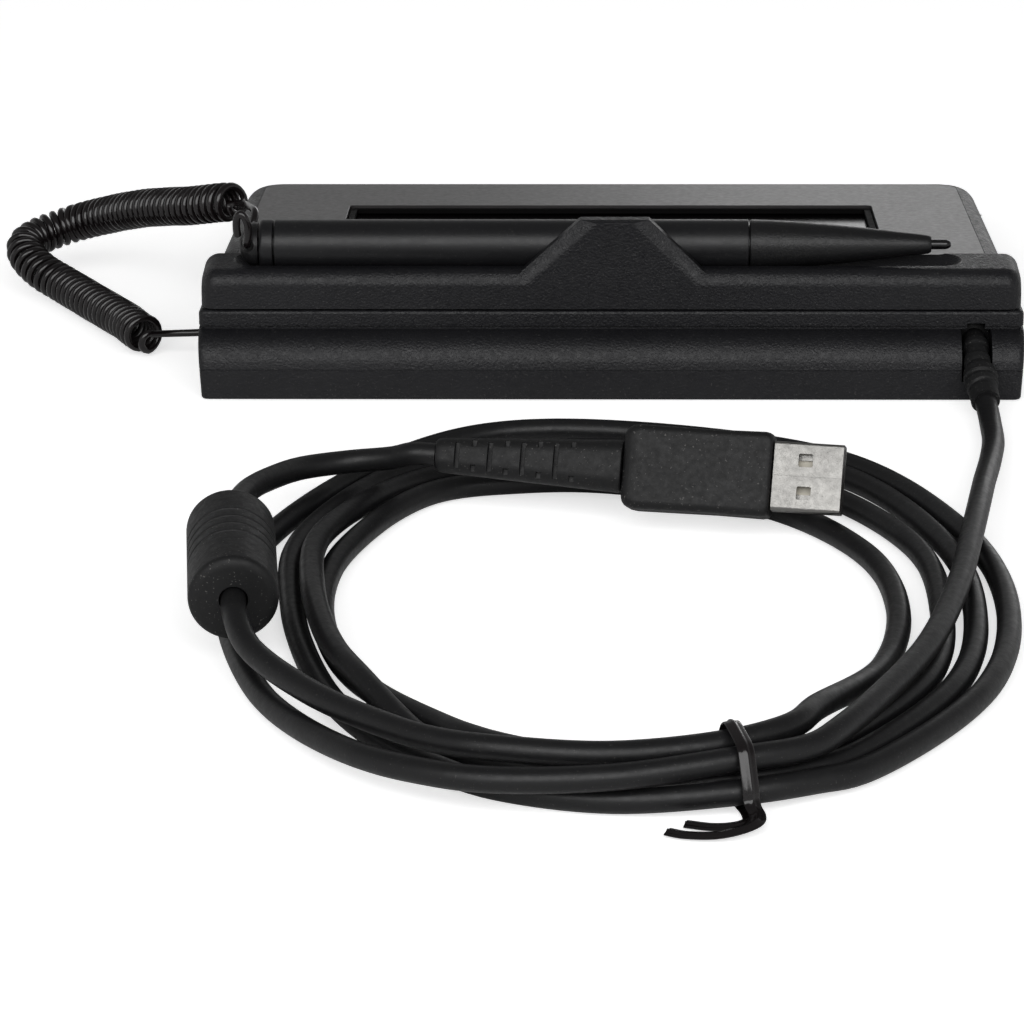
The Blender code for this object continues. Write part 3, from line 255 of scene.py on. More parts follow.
# Studio: the floor's tone and glow, the backdrop's strength low down and above with the
# heights between which it changes, and each lamp's name, place, target, size and power
FLOOR_SIZE = 4.0
FLOOR_TONE = 0.86
FLOOR_GLOW = 0.62
BACKDROP = (0.55, 0.16, 0.12, 0.6)
LAMPS = (
    ("behind_camera", (0.05, 1.05, 0.68), (0, 0.05, 0), (1.7, 0.7), 12.0),
    ("far_side", (-0.35, -1.2, 0.15), (0, 0, 0), (0.7, 0.24), 0.9))


# Places

def at(x, v, z):
    """Place in metres of x, distance v from the rear face and height z."""
    return Vector((x, DEPTH / 2 - v, z)) * MM


def split_z(v):
    return SPLIT_REAR_Z - (v - WALL_V) * SPLIT_SLOPE


def plate_z(v):
    return PLATE_REAR_Z - (v - LEDGE_V) * PLATE_SLOPE


def both_sides(places):
    return [(side * x, v) for x, v in places for side in (-1, 1)]


def frame_of(heading, lean_axis, lean, origin):
    """Frame whose X axis runs along a heading in degrees, turned by lean about one of its axes."""
    turned = Matrix.Rotation(math.radians(heading), 4, "Z")
    return Matrix.Translation(at(*origin)) @ turned @ Matrix.Rotation(math.radians(lean), 4, lean_axis)


BEAD = frame_of(BEAD_HEADING, "Y", -BEAD_TILT, BEAD_AT)
PLUG = frame_of(PLUG_HEADING, "X", 90 - PLUG_LEAN, PLUG_AT)


def along_frame(place, x):
    """(x, v, z) of a point on the local X axis of a frame."""
    spot = place @ Vector((x * MM, 0, 0)) / MM
    return (spot.x, DEPTH / 2 - spot.y, spot.z)


# Routes

def smooth_route(points, longest):
    """Centripetal curve through the points, cut where two of them lie far apart."""
    route = [np.array(p, float) for p in points]
    padded = [2 * route[0] - route[1], *route, 2 * route[-1] - route[-2]]
    result = []
    for p0, p1, p2, p3 in zip(padded, padded[1:], padded[2:], padded[3:]):
        d0, d1, d2 = (math.sqrt(np.linalg.norm(b - a)) for a, b in ((p0, p1), (p1, p2), (p2, p3)))
        m1 = d1 * ((p1 - p0) / d0 - (p2 - p0) / (d0 + d1) + (p2 - p1) / d1)
        m2 = d1 * ((p2 - p1) / d1 - (p3 - p1) / (d1 + d2) + (p3 - p2) / d2)
        cuts = max(1, math.ceil(np.linalg.norm(p2 - p1) / longest - 0.001))
        for t in np.arange(cuts) / cuts:
            result.append((2 * t**3 - 3 * t**2 + 1) * p1 + (t**3 - 2 * t**2 + t) * m1
                          + (3 * t**2 - 2 * t**3) * p2 + (t**3 - t**2) * m2)
    result.append(route[-1])
    return np.array(result)


def lengths_along(points):
    return np.concatenate(([0.0], np.cumsum(np.linalg.norm(np.diff(points, axis=0), axis=1))))


def bundle_turns():
    """Turn after turn of the hand-wound bundle, in the order in which the cable runs."""
    points = []
    for turn in range(5):
        for direction, passes in BUNDLE.items():
            if turn < len(passes):
                reach, z = passes[turn]
                angle = math.radians(direction)
                points.append((reach * math.cos(angle), BUNDLE_V - reach * math.sin(angle), z))
    return points


def cable_route(longest):
    end = -BODY_LONG - PLUG_GAP - RELIEF_LONG - PLUG_GAP
    route = list(CABLE_OUT) + bundle_turns()
    route += [along_frame(BEAD, x) for x in (-CABLE_D, 0.0, BEAD_LONG, BEAD_LONG + CABLE_D)]
    route += list(CABLE_BACK)
    route += [along_frame(PLUG, x) for x in (end - CABLE_D, end)]
    points = smooth_route(route, longest)
    points[:, 2] = np.maximum(points[:, 2], CABLE_D / 2)
    return points


def coiled(axis_in, axis, axis_out, steps):
    """Curls around the axis route, with straight ends; the pitch opens in the bend."""
    whole = smooth_route((*axis_in, *axis, *axis_out), 0.4)
    along = lengths_along(whole)
    start = along[np.argmin(np.linalg.norm(whole - np.array(axis[0]), axis=1))]
    end = along[np.argmin(np.linalg.norm(whole - np.array(axis[-1]), axis=1))]
    run = np.gradient(whole, along, axis=0)
    run /= np.linalg.norm(run, axis=1)[:, None]
    bend = np.linalg.norm(np.gradient(run, along, axis=0), axis=1)
    bend = np.convolve(np.pad(bend, 8, mode="edge"), np.ones(17) / 17, mode="valid")
    inside = (along >= start) & (along <= end)
    pitch = np.maximum(COIL_PITCH, COIL_TIGHTEST / (1 - np.minimum(COIL_R * bend, 0.6)))
    turns = np.concatenate(([0.0], np.cumsum(np.diff(along) * (inside / pitch)[1:])))

    side = np.array((0.0, 0.0, 1.0))
    frames = []
    for tangent in run:
        side = side - tangent * side.dot(tangent)
        side /= np.linalg.norm(side)
        frames.append((side.copy(), np.cross(tangent, side)))

    points = [whole[0], *(np.array(p) for p in axis_in[1:-1])]
    count = int(turns[-1] * steps)
    for k in range(count + 1):
        place = np.interp(k / steps, turns, along)
        i = min(int(np.searchsorted(along, place)), len(whole) - 1)
        ends = ((place - start + COIL_LEAD) / COIL_EASE, (end - place + COIL_LEAD) / COIL_EASE)
        reach = COIL_R * min(1.0, *ends)
        phase = 2 * math.pi * k / steps
        centre = np.array([np.interp(place, along, whole[:, n]) for n in range(3)])
        points.append(centre + reach * (math.cos(phase) * frames[i][0] + math.sin(phase) * frames[i][1]))
    points += [np.array(p) for p in axis_out]
    return np.array(points)


# Materials

def noise(tree, coords, scale, detail, roughness=0.5):
    made = tree.nodes.new("ShaderNodeTexNoise")
    made.inputs["Scale"].default_value = scale
    made.inputs["Detail"].default_value = detail
    made.inputs["Roughness"].default_value = roughness
    tree.links.new(coords, made.inputs["Vector"])
    return made.outputs["Fac"]


def spread(tree, value, low, high, from_low=0.3, from_high=0.7):
    """The value, stretched from one span to another and held within it."""
    made = tree.nodes.new("ShaderNodeMapRange")
    ends = (("From Min", from_low), ("From Max", from_high), ("To Min", low), ("To Max", high))
    for socket, number in ends:
        made.inputs[socket].default_value = number
    tree.links.new(value, made.inputs["Value"])
    return made.outputs["Result"]


def blended(tree, factor, first, second):
    """Colour that goes from the first to the second with the factor."""
    made = tree.nodes.new("ShaderNodeMix")
    made.data_type = "RGBA"
    tree.links.new(factor, made.inputs["Factor"])
    for socket, colour in ((6, first), (7, second)):
        if isinstance(colour, tuple):
            made.inputs[socket].default_value = (*colour, 1.0)
        else:
            tree.links.new(colour, made.inputs[socket])
    return made.outputs[2]


def bump(tree, height, depth, under=None):
    made = tree.nodes.new("ShaderNodeBump")
    made.inputs["Strength"].default_value = 1.0
    made.inputs["Distance"].default_value = depth
    tree.links.new(height, made.inputs["Height"])
    if under:
        tree.links.new(under, made.inputs["Normal"])
    return made.outputs["Normal"]


def surface(name, colour, roughness, grain=None, mottle=0.25, wave=None, dust=0.0, metallic=0.0,
            specular=0.5, coat=0.0):
    """Finish with a fine grain, uneven gloss and colour, and specks of dust.

    colour is a dark and a light tone, roughness its two ends, grain and wave
    are (features per metre, depth in metres).
    """
    made = bpy.data.materials.new(name)
    made.use_nodes = True
    tree = made.node_tree
    shader = tree.nodes["Principled BSDF"]
    shader.inputs["Metallic"].default_value = metallic
    shader.inputs["Specular IOR Level"].default_value = specular
    shader.inputs["Coat Weight"].default_value = coat
    shader.inputs["Coat Roughness"].default_value = 0.12
    coords = tree.nodes.new("ShaderNodeTexCoord").outputs["Object"]
    broad = noise(tree, coords, BROAD_SCALE, 3.0)
    fine = noise(tree, coords, FINE_SCALE, 4.0, 0.6)
    tone = blended(tree, spread(tree, broad, 0.5 - mottle, 0.5 + mottle), colour[0], colour[1])
    if dust:
        specks = noise(tree, coords, DUST_SCALE, 1.0)
        tone = blended(tree, spread(tree, specks, 0.0, dust, *DUST_SPAN), tone, DUST_COLOUR)
    tree.links.new(tone, shader.inputs["Base Color"])
    tree.links.new(spread(tree, fine, *roughness), shader.inputs["Roughness"])
    normal = None
    if wave:
        normal = bump(tree, noise(tree, coords, wave[0], 2.0), wave[1])
    if grain:
        normal = bump(tree, noise(tree, coords, grain[0], 2.0, 0.6), grain[1], normal)
    if normal:
        tree.links.new(normal, shader.inputs["Normal"])
    return made


FINISH = {
    "case": surface("spark_grain_black", ((0.0055, 0.0055, 0.0068), (0.0095, 0.0095, 0.0112)), (0.3, 0.55),
                    grain=(2300.0, 0.00016), wave=(240.0, 0.00004), dust=0.12, specular=0.34),
    "plate": surface("dark_sheet", ((0.021, 0.019, 0.0195), (0.029, 0.027, 0.0275)), (0.36, 0.46),
                     grain=(3500.0, 0.000012), mottle=0.5, specular=0.72),
    "window": surface("sensor_glass", ((0.002, 0.0016, 0.002), (0.003, 0.0024, 0.0028)), (0.12, 0.2),
                      mottle=0.4, specular=0.04),
    "gasket": surface("black_gasket", ((0.002, 0.002, 0.002), (0.0035, 0.003, 0.0033)), (0.6, 0.75),
                      grain=(2200.0, 0.00002), specular=0.06),
    "rubber": surface("moulded_rubber", ((0.0055, 0.0055, 0.0058), (0.0095, 0.0095, 0.010)), (0.46, 0.64),
                      grain=(2200.0, 0.00003), wave=(260.0, 0.00006), dust=0.3, specular=0.3),
    "cable": surface("cable_jacket", ((0.0055, 0.0055, 0.006), (0.0095, 0.0095, 0.010)), (0.34, 0.48),
                     grain=(1800.0, 0.00002), wave=(190.0, 0.0001), dust=0.12, specular=0.34),
    "tether": surface("glossy_coil", ((0.004, 0.003, 0.0033), (0.007, 0.005, 0.0053)), (0.14, 0.24),
                      wave=(700.0, 0.00002), dust=0.05, coat=0.25, specular=0.4),
    "pen": surface("satin_barrel", ((0.006, 0.006, 0.0068), (0.0095, 0.0095, 0.0105)), (0.32, 0.44),
                   grain=(2600.0, 0.00002), dust=0.08, specular=0.36),
    "pen_grain": surface("grained_nose", ((0.006, 0.006, 0.0065), (0.0095, 0.0095, 0.010)), (0.3, 0.45),
                         grain=(2400.0, 0.00007), dust=0.06, specular=0.34),
    "nib": surface("polished_black", ((0.004, 0.004, 0.004), (0.007, 0.007, 0.007)), (0.1, 0.16), mottle=0.3),
    "nickel": surface("nickel_plate", ((0.20, 0.196, 0.188), (0.30, 0.294, 0.28)), (0.3, 0.46), metallic=1.0,
                      grain=(2800.0, 0.00006), mottle=0.5),
    "steel": surface("zinc_steel", ((0.42, 0.42, 0.42), (0.56, 0.56, 0.55)), (0.3, 0.45), metallic=1.0,
                     grain=(2500.0, 0.00001)),
    "board": surface("solder_mask", ((0.006, 0.07, 0.03), (0.012, 0.11, 0.05)), (0.25, 0.4), mottle=0.5,
                     grain=(900.0, 0.00002)),
    "chip": surface("chip_plastic", ((0.012, 0.012, 0.012), (0.018, 0.018, 0.018)), (0.5, 0.65),
                    grain=(3000.0, 0.00002)),
    "ferrite": surface("sintered_ferrite", ((0.028, 0.027, 0.026), (0.045, 0.043, 0.041)), (0.6, 0.75),
                       grain=(1800.0, 0.00004), mottle=0.5),
    "cream": surface("cream_plastic", ((0.55, 0.51, 0.42), (0.66, 0.62, 0.52)), (0.4, 0.5),
                     grain=(2000.0, 0.00001)),
    "amber": surface("amber_film", ((0.38, 0.16, 0.03), (0.5, 0.24, 0.05)), (0.25, 0.4), mottle=0.5),
}

# Inner nodes whose finish differs from their slot in the record
INNER_FINISH = {"window_gasket": "gasket", "plug_tongue": "cream"}
INNER_FINISH.update({f"plug_contact_{i + 1}": "nickel" for i in range(4)})


# Mesh basics

def ring_edges(bm, places):
    """Closed wire through the places."""
    verts = [bm.verts.new(p) for p in places]
    return [bm.edges.new((a, b)) for a, b in zip(verts, verts[1:] + verts[:1])]


def loft(bm, rings, closed=False):
    """Skin over rings of as many points each; open ends are capped."""
    wires = [ring_edges(bm, ring) for ring in rings]
    pairs = list(zip(wires, wires[1:]))
    if closed:
        pairs.append((wires[-1], wires[0]))
    for low, high in pairs:
        bmesh.ops.bridge_loops(bm, edges=low + high)
    if not closed:
        bmesh.ops.contextual_create(bm, geom=wires[0])
        bmesh.ops.contextual_create(bm, geom=wires[-1])


def spun(bm, profile, sides, place=Matrix.Identity(4), closed=False):
    """Body of revolution about the local X axis, from (x, radius) pairs; a last radius of 0 closes an end."""
    verts = [bm.verts.new(Vector((x, radius, 0)) * MM) for x, radius in profile]
    edges = [bm.edges.new(pair) for pair in zip(verts, verts[1:])]
    if closed:
        edges.append(bm.edges.new((verts[-1], verts[0])))
    before = {v for v in bm.verts if v not in set(verts)}
    bmesh.ops.spin(bm, geom=verts + edges, axis=(1, 0, 0), cent=(0, 0, 0), angle=2 * math.pi,
                   steps=sides, use_merge=True)
    made = [v for v in bm.verts if v not in before]
    bmesh.ops.remove_doubles(bm, verts=made, dist=1e-7)
    made = [v for v in bm.verts if v not in before]
    bmesh.ops.transform(bm, matrix=place, verts=made)


def upright(x, v):
    """Frame at x and v whose X axis points up, in which x is height."""
    return Matrix.Translation(at(x, v, 0)) @ Matrix.Rotation(-math.pi / 2, 4, "Y")


def post(bm, x, v, low, high, radius, sides=32):
    spun(bm, ((low, 0.0), (low, radius), (high, radius), (high, 0.0)), sides, upright(x, v))


def posts(bm, table, radius):
    """Posts on both sides for each row of place, lower and upper z."""
    for place, low, high in table:
        for x, v in both_sides((place,)):
            post(bm, x, v, low, high, radius)


def block(bm, x, v, z):
    """Plain box between pairs of x, v and z, used to cut."""
    made = bmesh.ops.create_cube(bm, size=1.0)["verts"]
    size = Vector((x[1] - x[0], v[1] - v[0], z[1] - z[0])) * MM
    middle = at(sum(x) / 2, sum(v) / 2, sum(z) / 2)
    bmesh.ops.transform(bm, matrix=Matrix.Translation(middle) @ Matrix.Diagonal((*size, 1)), verts=made)


def rounded_outline(x, v, corner, steps=6):
    """Points of a rectangle with round corners, as (x, v) pairs."""
    points = []
    centres = ((x[1] - corner, v[1] - corner), (x[0] + corner, v[1] - corner),
               (x[0] + corner, v[0] + corner), (x[1] - corner, v[0] + corner))
    for quarter, (cx, cv) in enumerate(centres):
        for i in range(steps + 1):
            turn = math.pi / 2 * (quarter + i / steps)
            points.append((cx + corner * math.cos(turn), cv + corner * math.sin(turn)))
    return points


def plan_outline(half, v, rear_corner, front_corner, steps=10):
    """Points of a symmetric plan whose rear and front corners differ, as (x, v) pairs."""
    right = []
    for i in range(steps + 1):
        turn = math.pi / 2 * i / steps
        right.append((half - rear_corner * (1 - math.sin(turn)), v[0] + rear_corner * (1 - math.cos(turn))))
    for i in range(steps + 1):
        turn = math.pi / 2 * i / steps
        right.append((half - front_corner * (1 - math.cos(turn)), v[1] - front_corner * (1 - math.sin(turn))))
    return right + [(-x, pv) for x, pv in reversed(right)]


def tee_outline(rear, less, sunk):
    """Plan of the base: a wide head at the rear, then the narrower body."""
    head, body = HEAD_HALF[0] - less - sunk, BODY_HALF - less - sunk
    right = []
    for i in range(6):
        turn = math.pi / 2 * i / 5
        right.append((head - REAR_CORNER * (1 - math.sin(turn)), rear + REAR_CORNER * (1 - math.cos(turn))))
    right += [(head, HEAD_V - sunk - 1.0), (head - 1.0, HEAD_V - sunk), (body + 0.6, HEAD_V - sunk),
              (body, HEAD_V - sunk + 0.6)]
    for i in range(11):
        turn = math.pi / 2 * i / 10
        right.append((body - (FRONT_CORNER - sunk) * (1 - math.cos(turn)),
                      DEPTH - sunk - (FRONT_CORNER - sunk) * (1 - math.sin(turn))))
    return right + [(-x, pv) for x, pv in reversed(right)]


def sloped_slab(bm, half, v, top, bottom, corner):
    """Slab that follows the plate's slope, top and bottom given as depths below it."""
    outline = rounded_outline((-half, half), v, corner)
    loft(bm, [[at(px, pv, plate_z(pv) - depth) for px, pv in outline] for depth in (top, bottom)])


def to_object(name, bm, finish):
    bmesh.ops.remove_doubles(bm, verts=bm.verts, dist=1e-7)
    bmesh.ops.recalc_face_normals(bm, faces=bm.faces)
    mesh = bpy.data.meshes.new(name)
    bm.to_mesh(mesh)
    bm.free()
    obj = bpy.data.objects.new(name, mesh)
    bpy.context.scene.collection.objects.link(obj)
    mesh.materials.append(FINISH[finish])
    return obj


def combine(obj, bm, operation):
    """Cuts obj by the closed bodies in bm, or joins them to it, for good."""
    tool = to_object(obj.name + "_tool", bm, "case")
    modifier = obj.modifiers.new("combine", "BOOLEAN")
    modifier.operation = operation
    modifier.object = tool
    modifier.solver = "EXACT"
    bpy.context.view_layer.update()
    shaped = bpy.data.meshes.new_from_object(obj.evaluated_get(bpy.context.evaluated_depsgraph_get()))
    obj.modifiers.clear()
    obj.data = shaped
    bpy.data.objects.remove(tool)


def settle(obj, body, stands_for, edge=0.0, sharp=38):
    """Smooth shading, small round edges, and what the piece rides on and stands for."""
    mesh = obj.data
    mesh.shade_smooth()
    mesh.set_sharp_from_angle(angle=math.radians(sharp))
    if edge:
        bevel = obj.modifiers.new("edge", "BEVEL")
        bevel.width = edge * MM
        bevel.segments = 2
        bevel.limit_method = "ANGLE"
        bevel.angle_limit = math.radians(sharp)
        bevel.use_clamp_overlap = True
    normals = obj.modifiers.new("normals", "WEIGHTED_NORMAL")
    normals.keep_sharp = True
    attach(obj, body)
    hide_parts(*stands_for)
    return obj


# Camera and cords

def make_camera():
    pitch, yaw, roll = (math.radians(angle) for angle in (PITCH_DOWN, YAW, ROLL))
    forward = Vector((-math.sin(yaw) * math.cos(pitch), -math.cos(yaw) * math.cos(pitch), -math.sin(pitch)))
    right = Vector((-math.cos(yaw), math.sin(yaw), 0))
    up = right.cross(forward)
    right, up = (math.cos(roll) * right + math.sin(roll) * up,
                 math.cos(roll) * up - math.sin(roll) * right)
    data = bpy.data.cameras.new("camera")
    data.sensor_width = 36.0
    data.lens = FOCAL_PIXELS * data.sensor_width / PHOTO_SIZE
    data.clip_start, data.clip_end = 0.05, 20.0
    camera = bpy.data.objects.new("camera", data)
    bpy.context.scene.collection.objects.link(camera)
    place = Matrix((right, up, -forward)).transposed().to_4x4()
    place.translation = at(*EYE)
    camera.matrix_world = place
    bpy.context.scene.camera = camera


def curve_tube(name, points, diameter, finish, resolution):
    """Round tube along (x, v, z) points."""
    curve = bpy.data.curves.new(name, "CURVE")
    curve.dimensions = "3D"
    curve.bevel_depth = diameter / 2 * MM
    curve.bevel_resolution = resolution
    curve.use_fill_caps = True
    spline = curve.splines.new("POLY")
    spline.points.add(len(points) - 1)
    for point, place in zip(spline.points, points):
        point.co = (*at(*place), 1.0)
    spline.use_smooth = True
    obj = bpy.data.objects.new(name, curve)
    bpy.context.scene.collection.objects.link(obj)
    curve.materials.append(FINISH[finish])
    return obj


def as_mesh(obj):
    """Mesh object of the same name, shape and material in place of a curve."""
    name = obj.name
    bpy.context.view_layer.update()
    mesh = bpy.data.meshes.new_from_object(obj.evaluated_get(bpy.context.evaluated_depsgraph_get()))
    bpy.data.objects.remove(obj)
    made = bpy.data.objects.new(name, mesh)
    bpy.context.scene.collection.objects.link(made)
    mesh.shade_smooth()
    return made


def make_tether():
    points = coiled(TETHER_IN, TETHER_AXIS, TETHER_OUT, 24)
    coil = as_mesh(curve_tube("coiled_tether", points, TETHER_D, "tether", 2))
    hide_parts("tether_coil")
    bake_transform(coil)

    route = smooth_route((TETHER_OUT[-1], *TETHER_LOOP), 0.4)
    loop = as_mesh(curve_tube("tether_knot", route, TETHER_D, "tether", 3))
    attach(loop, "tether_end")
    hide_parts("tether_loop")


def make_cable():
    points = cable_route(2.0)
    cable = curve_tube("cable_jacket", points, CABLE_D, "cable", 6)
    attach(cable, "pad")
    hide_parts("usb_cable")


# Case

def upper_head(bm):
    """Ledge across the rear, round along its top, its sides and its upright corners."""
    start = HEAD_HALF[1] - HEAD_ROUND
    turns = [math.radians(turn) for turn in range(0, 91, 9)]
    stations = [(start + HEAD_ROUND * math.sin(turn), HEAD_ROUND * (1 - math.cos(turn))) for turn in turns]
    rings = []
    for x, inset in [(-x, inset) for x, inset in reversed(stations)] + stations:
        edge, top = WALL_V + inset, LEDGE_Z - inset
        section = [(edge, split_z(edge) + SPLIT_GAP / 2)]
        section += [(edge + LEDGE_ROUND * (1 - math.cos(turn)), top - LEDGE_ROUND * (1 - math.sin(turn)))
                    for turn in turns]
        section += [(HEAD_V - 0.5, top), (HEAD_V - 0.15, top - 0.15), (HEAD_V, top - 0.5),
                    (HEAD_V, split_z(HEAD_V) + SPLIT_GAP / 2)]
        rings.append([at(x, v, z) for v, z in section])
    loft(bm, rings)


def upper_body(bm):
    """Sloping part in front of the ledge, with round edges along its sides and front."""
    rear = HEAD_V - 5
    rings = [[at(x, v, split_z(v) + SPLIT_GAP / 2 + STAND_BACK)
              for x, v in plan_outline(BODY_HALF, (rear, DEPTH), 1.0, FRONT_CORNER)]]
    for turn in range(0, 91, 9):
        angle = math.radians(turn)
        cut = 1 - math.cos(angle)
        side, front = TOP_ROUND[0] * cut, TOP_ROUND[1] * cut
        outline = plan_outline(BODY_HALF - side, (rear, DEPTH - front), 1.0, FRONT_CORNER - side)
        drop = TOP_ROUND[0] * (1 - math.sin(angle))
        rings.append([at(x, v, plate_z(v) - drop) for x, v in outline])
    loft(bm, rings)


def make_upper_case():
    bm = bmesh.new()
    upper_body(bm)
    case = to_object("case_upper", bm, "case")
    bm = bmesh.new()
    upper_head(bm)
    combine(case, bm, "UNION")

    inner = WALL_V + WALL
    front = CAVITY_FRONT_V
    section = ((inner, split_z(inner) - 1), (inner, LEDGE_ROOF_Z), (LEDGE_V, LEDGE_ROOF_Z),
               (LEDGE_V, plate_z(LEDGE_V) - DECK_BOTTOM), (front, plate_z(front) - DECK_BOTTOM),
               (front, split_z(front) - 1))
    bm = bmesh.new()
    loft(bm, [[at(x, v, z) for v, z in section] for x in (-CAVITY_HALF, CAVITY_HALF)])
    combine(case, bm, "DIFFERENCE")

    bm = bmesh.new()
    posts(bm, UPPER_BOSSES, UPPER_BOSS_R)
    pen_stop(bm)
    combine(case, bm, "UNION")

    bm = bmesh.new()
    sloped_slab(bm, PLATE_HALF, (LEDGE_V, PLATE_FRONT_V), -9.0, POCKET_DEEP, PLATE_CORNER)
    combine(case, bm, "DIFFERENCE")

    bm = bmesh.new()
    sloped_slab(bm, SENSOR_HALF + 0.6, (SENSOR_V[0] - 0.6, SENSOR_V[1] + 0.6), 0.5, 6.0, 1.0)
    low, high = GROOVE_X[0] + GROOVE_R, GROOVE_X[1] - GROOVE_R
    profile = [(low - GROOVE_R * math.cos(math.radians(a)), GROOVE_R * math.sin(math.radians(a)))
               for a in range(0, 91, 10)]
    profile += [(low + high - x, radius) for x, radius in reversed(profile)]
    spun(bm, profile, 72, Matrix.Translation(at(0, PEN_V, PEN_Z)))
    combine(case, bm, "DIFFERENCE")
    settle(case, "pad", ("upper_housing",), edge=0.1)


def pen_stop(bm):
    """Upright tapered fin whose rear edges are cut back in a wide, slightly round bevel along its slopes."""
    rear, ridge, front = STOP_V
    flanks = [(low - top) / (STOP_TOP_Z - STOP_BASE_Z) for low, top in zip(STOP_BASE, STOP_TOP)]

    def outline(v, share):
        side, down = (cut * share for cut in STOP_BEVEL)
        low, top = STOP_BASE_Z - 1.5, STOP_TOP_Z - down
        left, right = (STOP_TOP[0] + side, flanks[0]), (STOP_TOP[1] - side, flanks[1])
        return [at(x + (STOP_TOP_Z - z) * flank, v, z)
                for (x, flank), z in ((left, low), (right, low), (right, top), (left, top))]

    rings = []
    for along, back in ((0.0, 1.0), (0.06, 0.78), (0.5, 0.38), (0.94, 0.03), (1.0, 0.0)):
        rings.append(outline(rear + STAND_BACK + (ridge - rear) * along, back))
    rings.append(outline(front, 0.0))
    loft(bm, rings)


def rear_profile(z):
    """v of the rear face at height z: flat strip, quarter round, then wall."""
    if z <= STRIP_Z:
        return 0.0
    if z >= SHOULDER_Z:
        return WALL_V
    share = (z - STRIP_Z) / (SHOULDER_Z - STRIP_Z)
    return WALL_V * (1 - math.sqrt(1 - share * share))


def make_lower_case():
    """Stack of outlines with two thin grooves, cut off along the split and hollowed."""
    groove_top = SHOULDER_Z + 0.45
    levels = [(UNDERSIDE_Z, 0.4), (UNDERSIDE_Z + 0.12, 0.12), (UNDERSIDE_Z + 0.4, 0.0),
              (STRIP_Z - 0.2, 0.0), (STRIP_Z - 0.1, 0.14), (STRIP_Z + 0.05, 0.14), (STRIP_Z + 0.15, 0.0)]
    for turn in range(12, 85, 8):
        levels.append((STRIP_Z + (SHOULDER_Z - STRIP_Z) * math.sin(math.radians(turn)), 0.0))
    levels += [(SHOULDER_Z - 0.02, 0.0), (SHOULDER_Z, 0.3), (groove_top, 0.3), (groove_top + 0.15, 0.0),
               (LOWER_CUT_Z, 0.0)]
    rings = []
    for z, sunk in levels:
        outline = tee_outline(rear_profile(z) + sunk, SIDE_DRAFT * max(0.0, SHOULDER_Z - z), sunk)
        rings.append([at(x, v, z) for x, v in outline])
    bm = bmesh.new()
    loft(bm, rings)
    normal = Vector((0, -SPLIT_SLOPE, 1)).normalized()
    bmesh.ops.bisect_plane(bm, geom=bm.verts[:] + bm.edges[:] + bm.faces[:],
                           plane_co=at(0, WALL_V, SPLIT_REAR_Z - SPLIT_GAP / 2), plane_no=normal,
                           clear_outer=True)
    rim = [e for e in bm.edges if e.is_boundary]
    bmesh.ops.contextual_create(bm, geom=rim)
    bmesh.ops.recalc_face_normals(bm, faces=bm.faces)
    rim = [e for e in bm.edges if len(e.link_faces) == 2
           and max(f.normal.dot(normal) for f in e.link_faces) > 0.999
           and min(f.normal.dot(normal) for f in e.link_faces) < 0.9]
    bmesh.ops.bevel(bm, geom=rim, offset=0.75 * MM, offset_type="OFFSET", segments=4, profile=0.5,
                    affect="EDGES", material=-1)
    case = to_object("case_lower", bm, "case")

    inner, front = WALL_V + WALL, CAVITY_FRONT_V
    section = ((WALL, FLOOR_Z), (WALL, STRIP_Z - 0.4), (inner, SHOULDER_Z - 0.6),
               (inner, split_z(inner) + 1), (front, split_z(front) + 1), (front, FLOOR_Z))
    bm = bmesh.new()
    loft(bm, [[at(x, v, z) for v, z in section] for x in (-CAVITY_HALF, CAVITY_HALF)])
    combine(case, bm, "DIFFERENCE")

    bm = bmesh.new()
    posts(bm, LOWER_BOSSES, LOWER_BOSS_R)
    combine(case, bm, "UNION")

    bm = bmesh.new()
    posts(bm, SCREW_POCKETS, SCREW_POCKET_R)
    posts(bm, FOOT_POCKETS, FOOT_POCKET_R)
    block(bm, NOTCH_X, (-1, WALL_V + 4), NOTCH_Z)
    start, end, radius = TETHER_BORE
    spun(bm, ((start, 0.0), (start, radius), (end, radius), (end, 0.0)), 24,
         Matrix.Translation(at(0, *TETHER_HOLE)))
    combine(case, bm, "DIFFERENCE")
    bm = bmesh.new()
    block(bm, SLOT_X, (-1, WALL_V + 4), (NOTCH_Z[1] - 1, SLOT_TOP_Z))
    combine(case, bm, "DIFFERENCE")
    settle(case, "pad", ("lower_housing",), edge=0.18)


def make_feet():
    for i, (x, v) in enumerate(both_sides((REAR_FOOT, FRONT_FOOT))):
        bm = bmesh.new()
        spun(bm, FOOT_PROFILE, 48, upright(x, v))
        settle(to_object(f"foot_pad_{i + 1}", bm, "rubber"), "pad", (f"foot_{i + 1}",))


def make_plate():
    bm = bmesh.new()
    seam = PLATE_SEAM
    edges = (LEDGE_V + seam, PLATE_FRONT_V - seam)
    sloped_slab(bm, PLATE_HALF - seam, edges, 0, PLATE_THICK, PLATE_CORNER - seam)
    plate = to_object("writing_plate", bm, "plate")
    bm = bmesh.new()
    sloped_slab(bm, WINDOW_HALF, WINDOW_V, -1, 3, 1.2)
    combine(plate, bm, "DIFFERENCE")
    settle(plate, "pad", ("writing_surface",), edge=0.08)


# Pen

PEN_FRAME = Matrix.Translation(at(0, PEN_V, PEN_Z))


def pen_piece(name, profile, finish, node, body="pen", sides=64, closed=True):
    bm = bmesh.new()
    spun(bm, profile, sides, PEN_FRAME, closed)
    return settle(to_object(name, bm, finish), body, (node,))


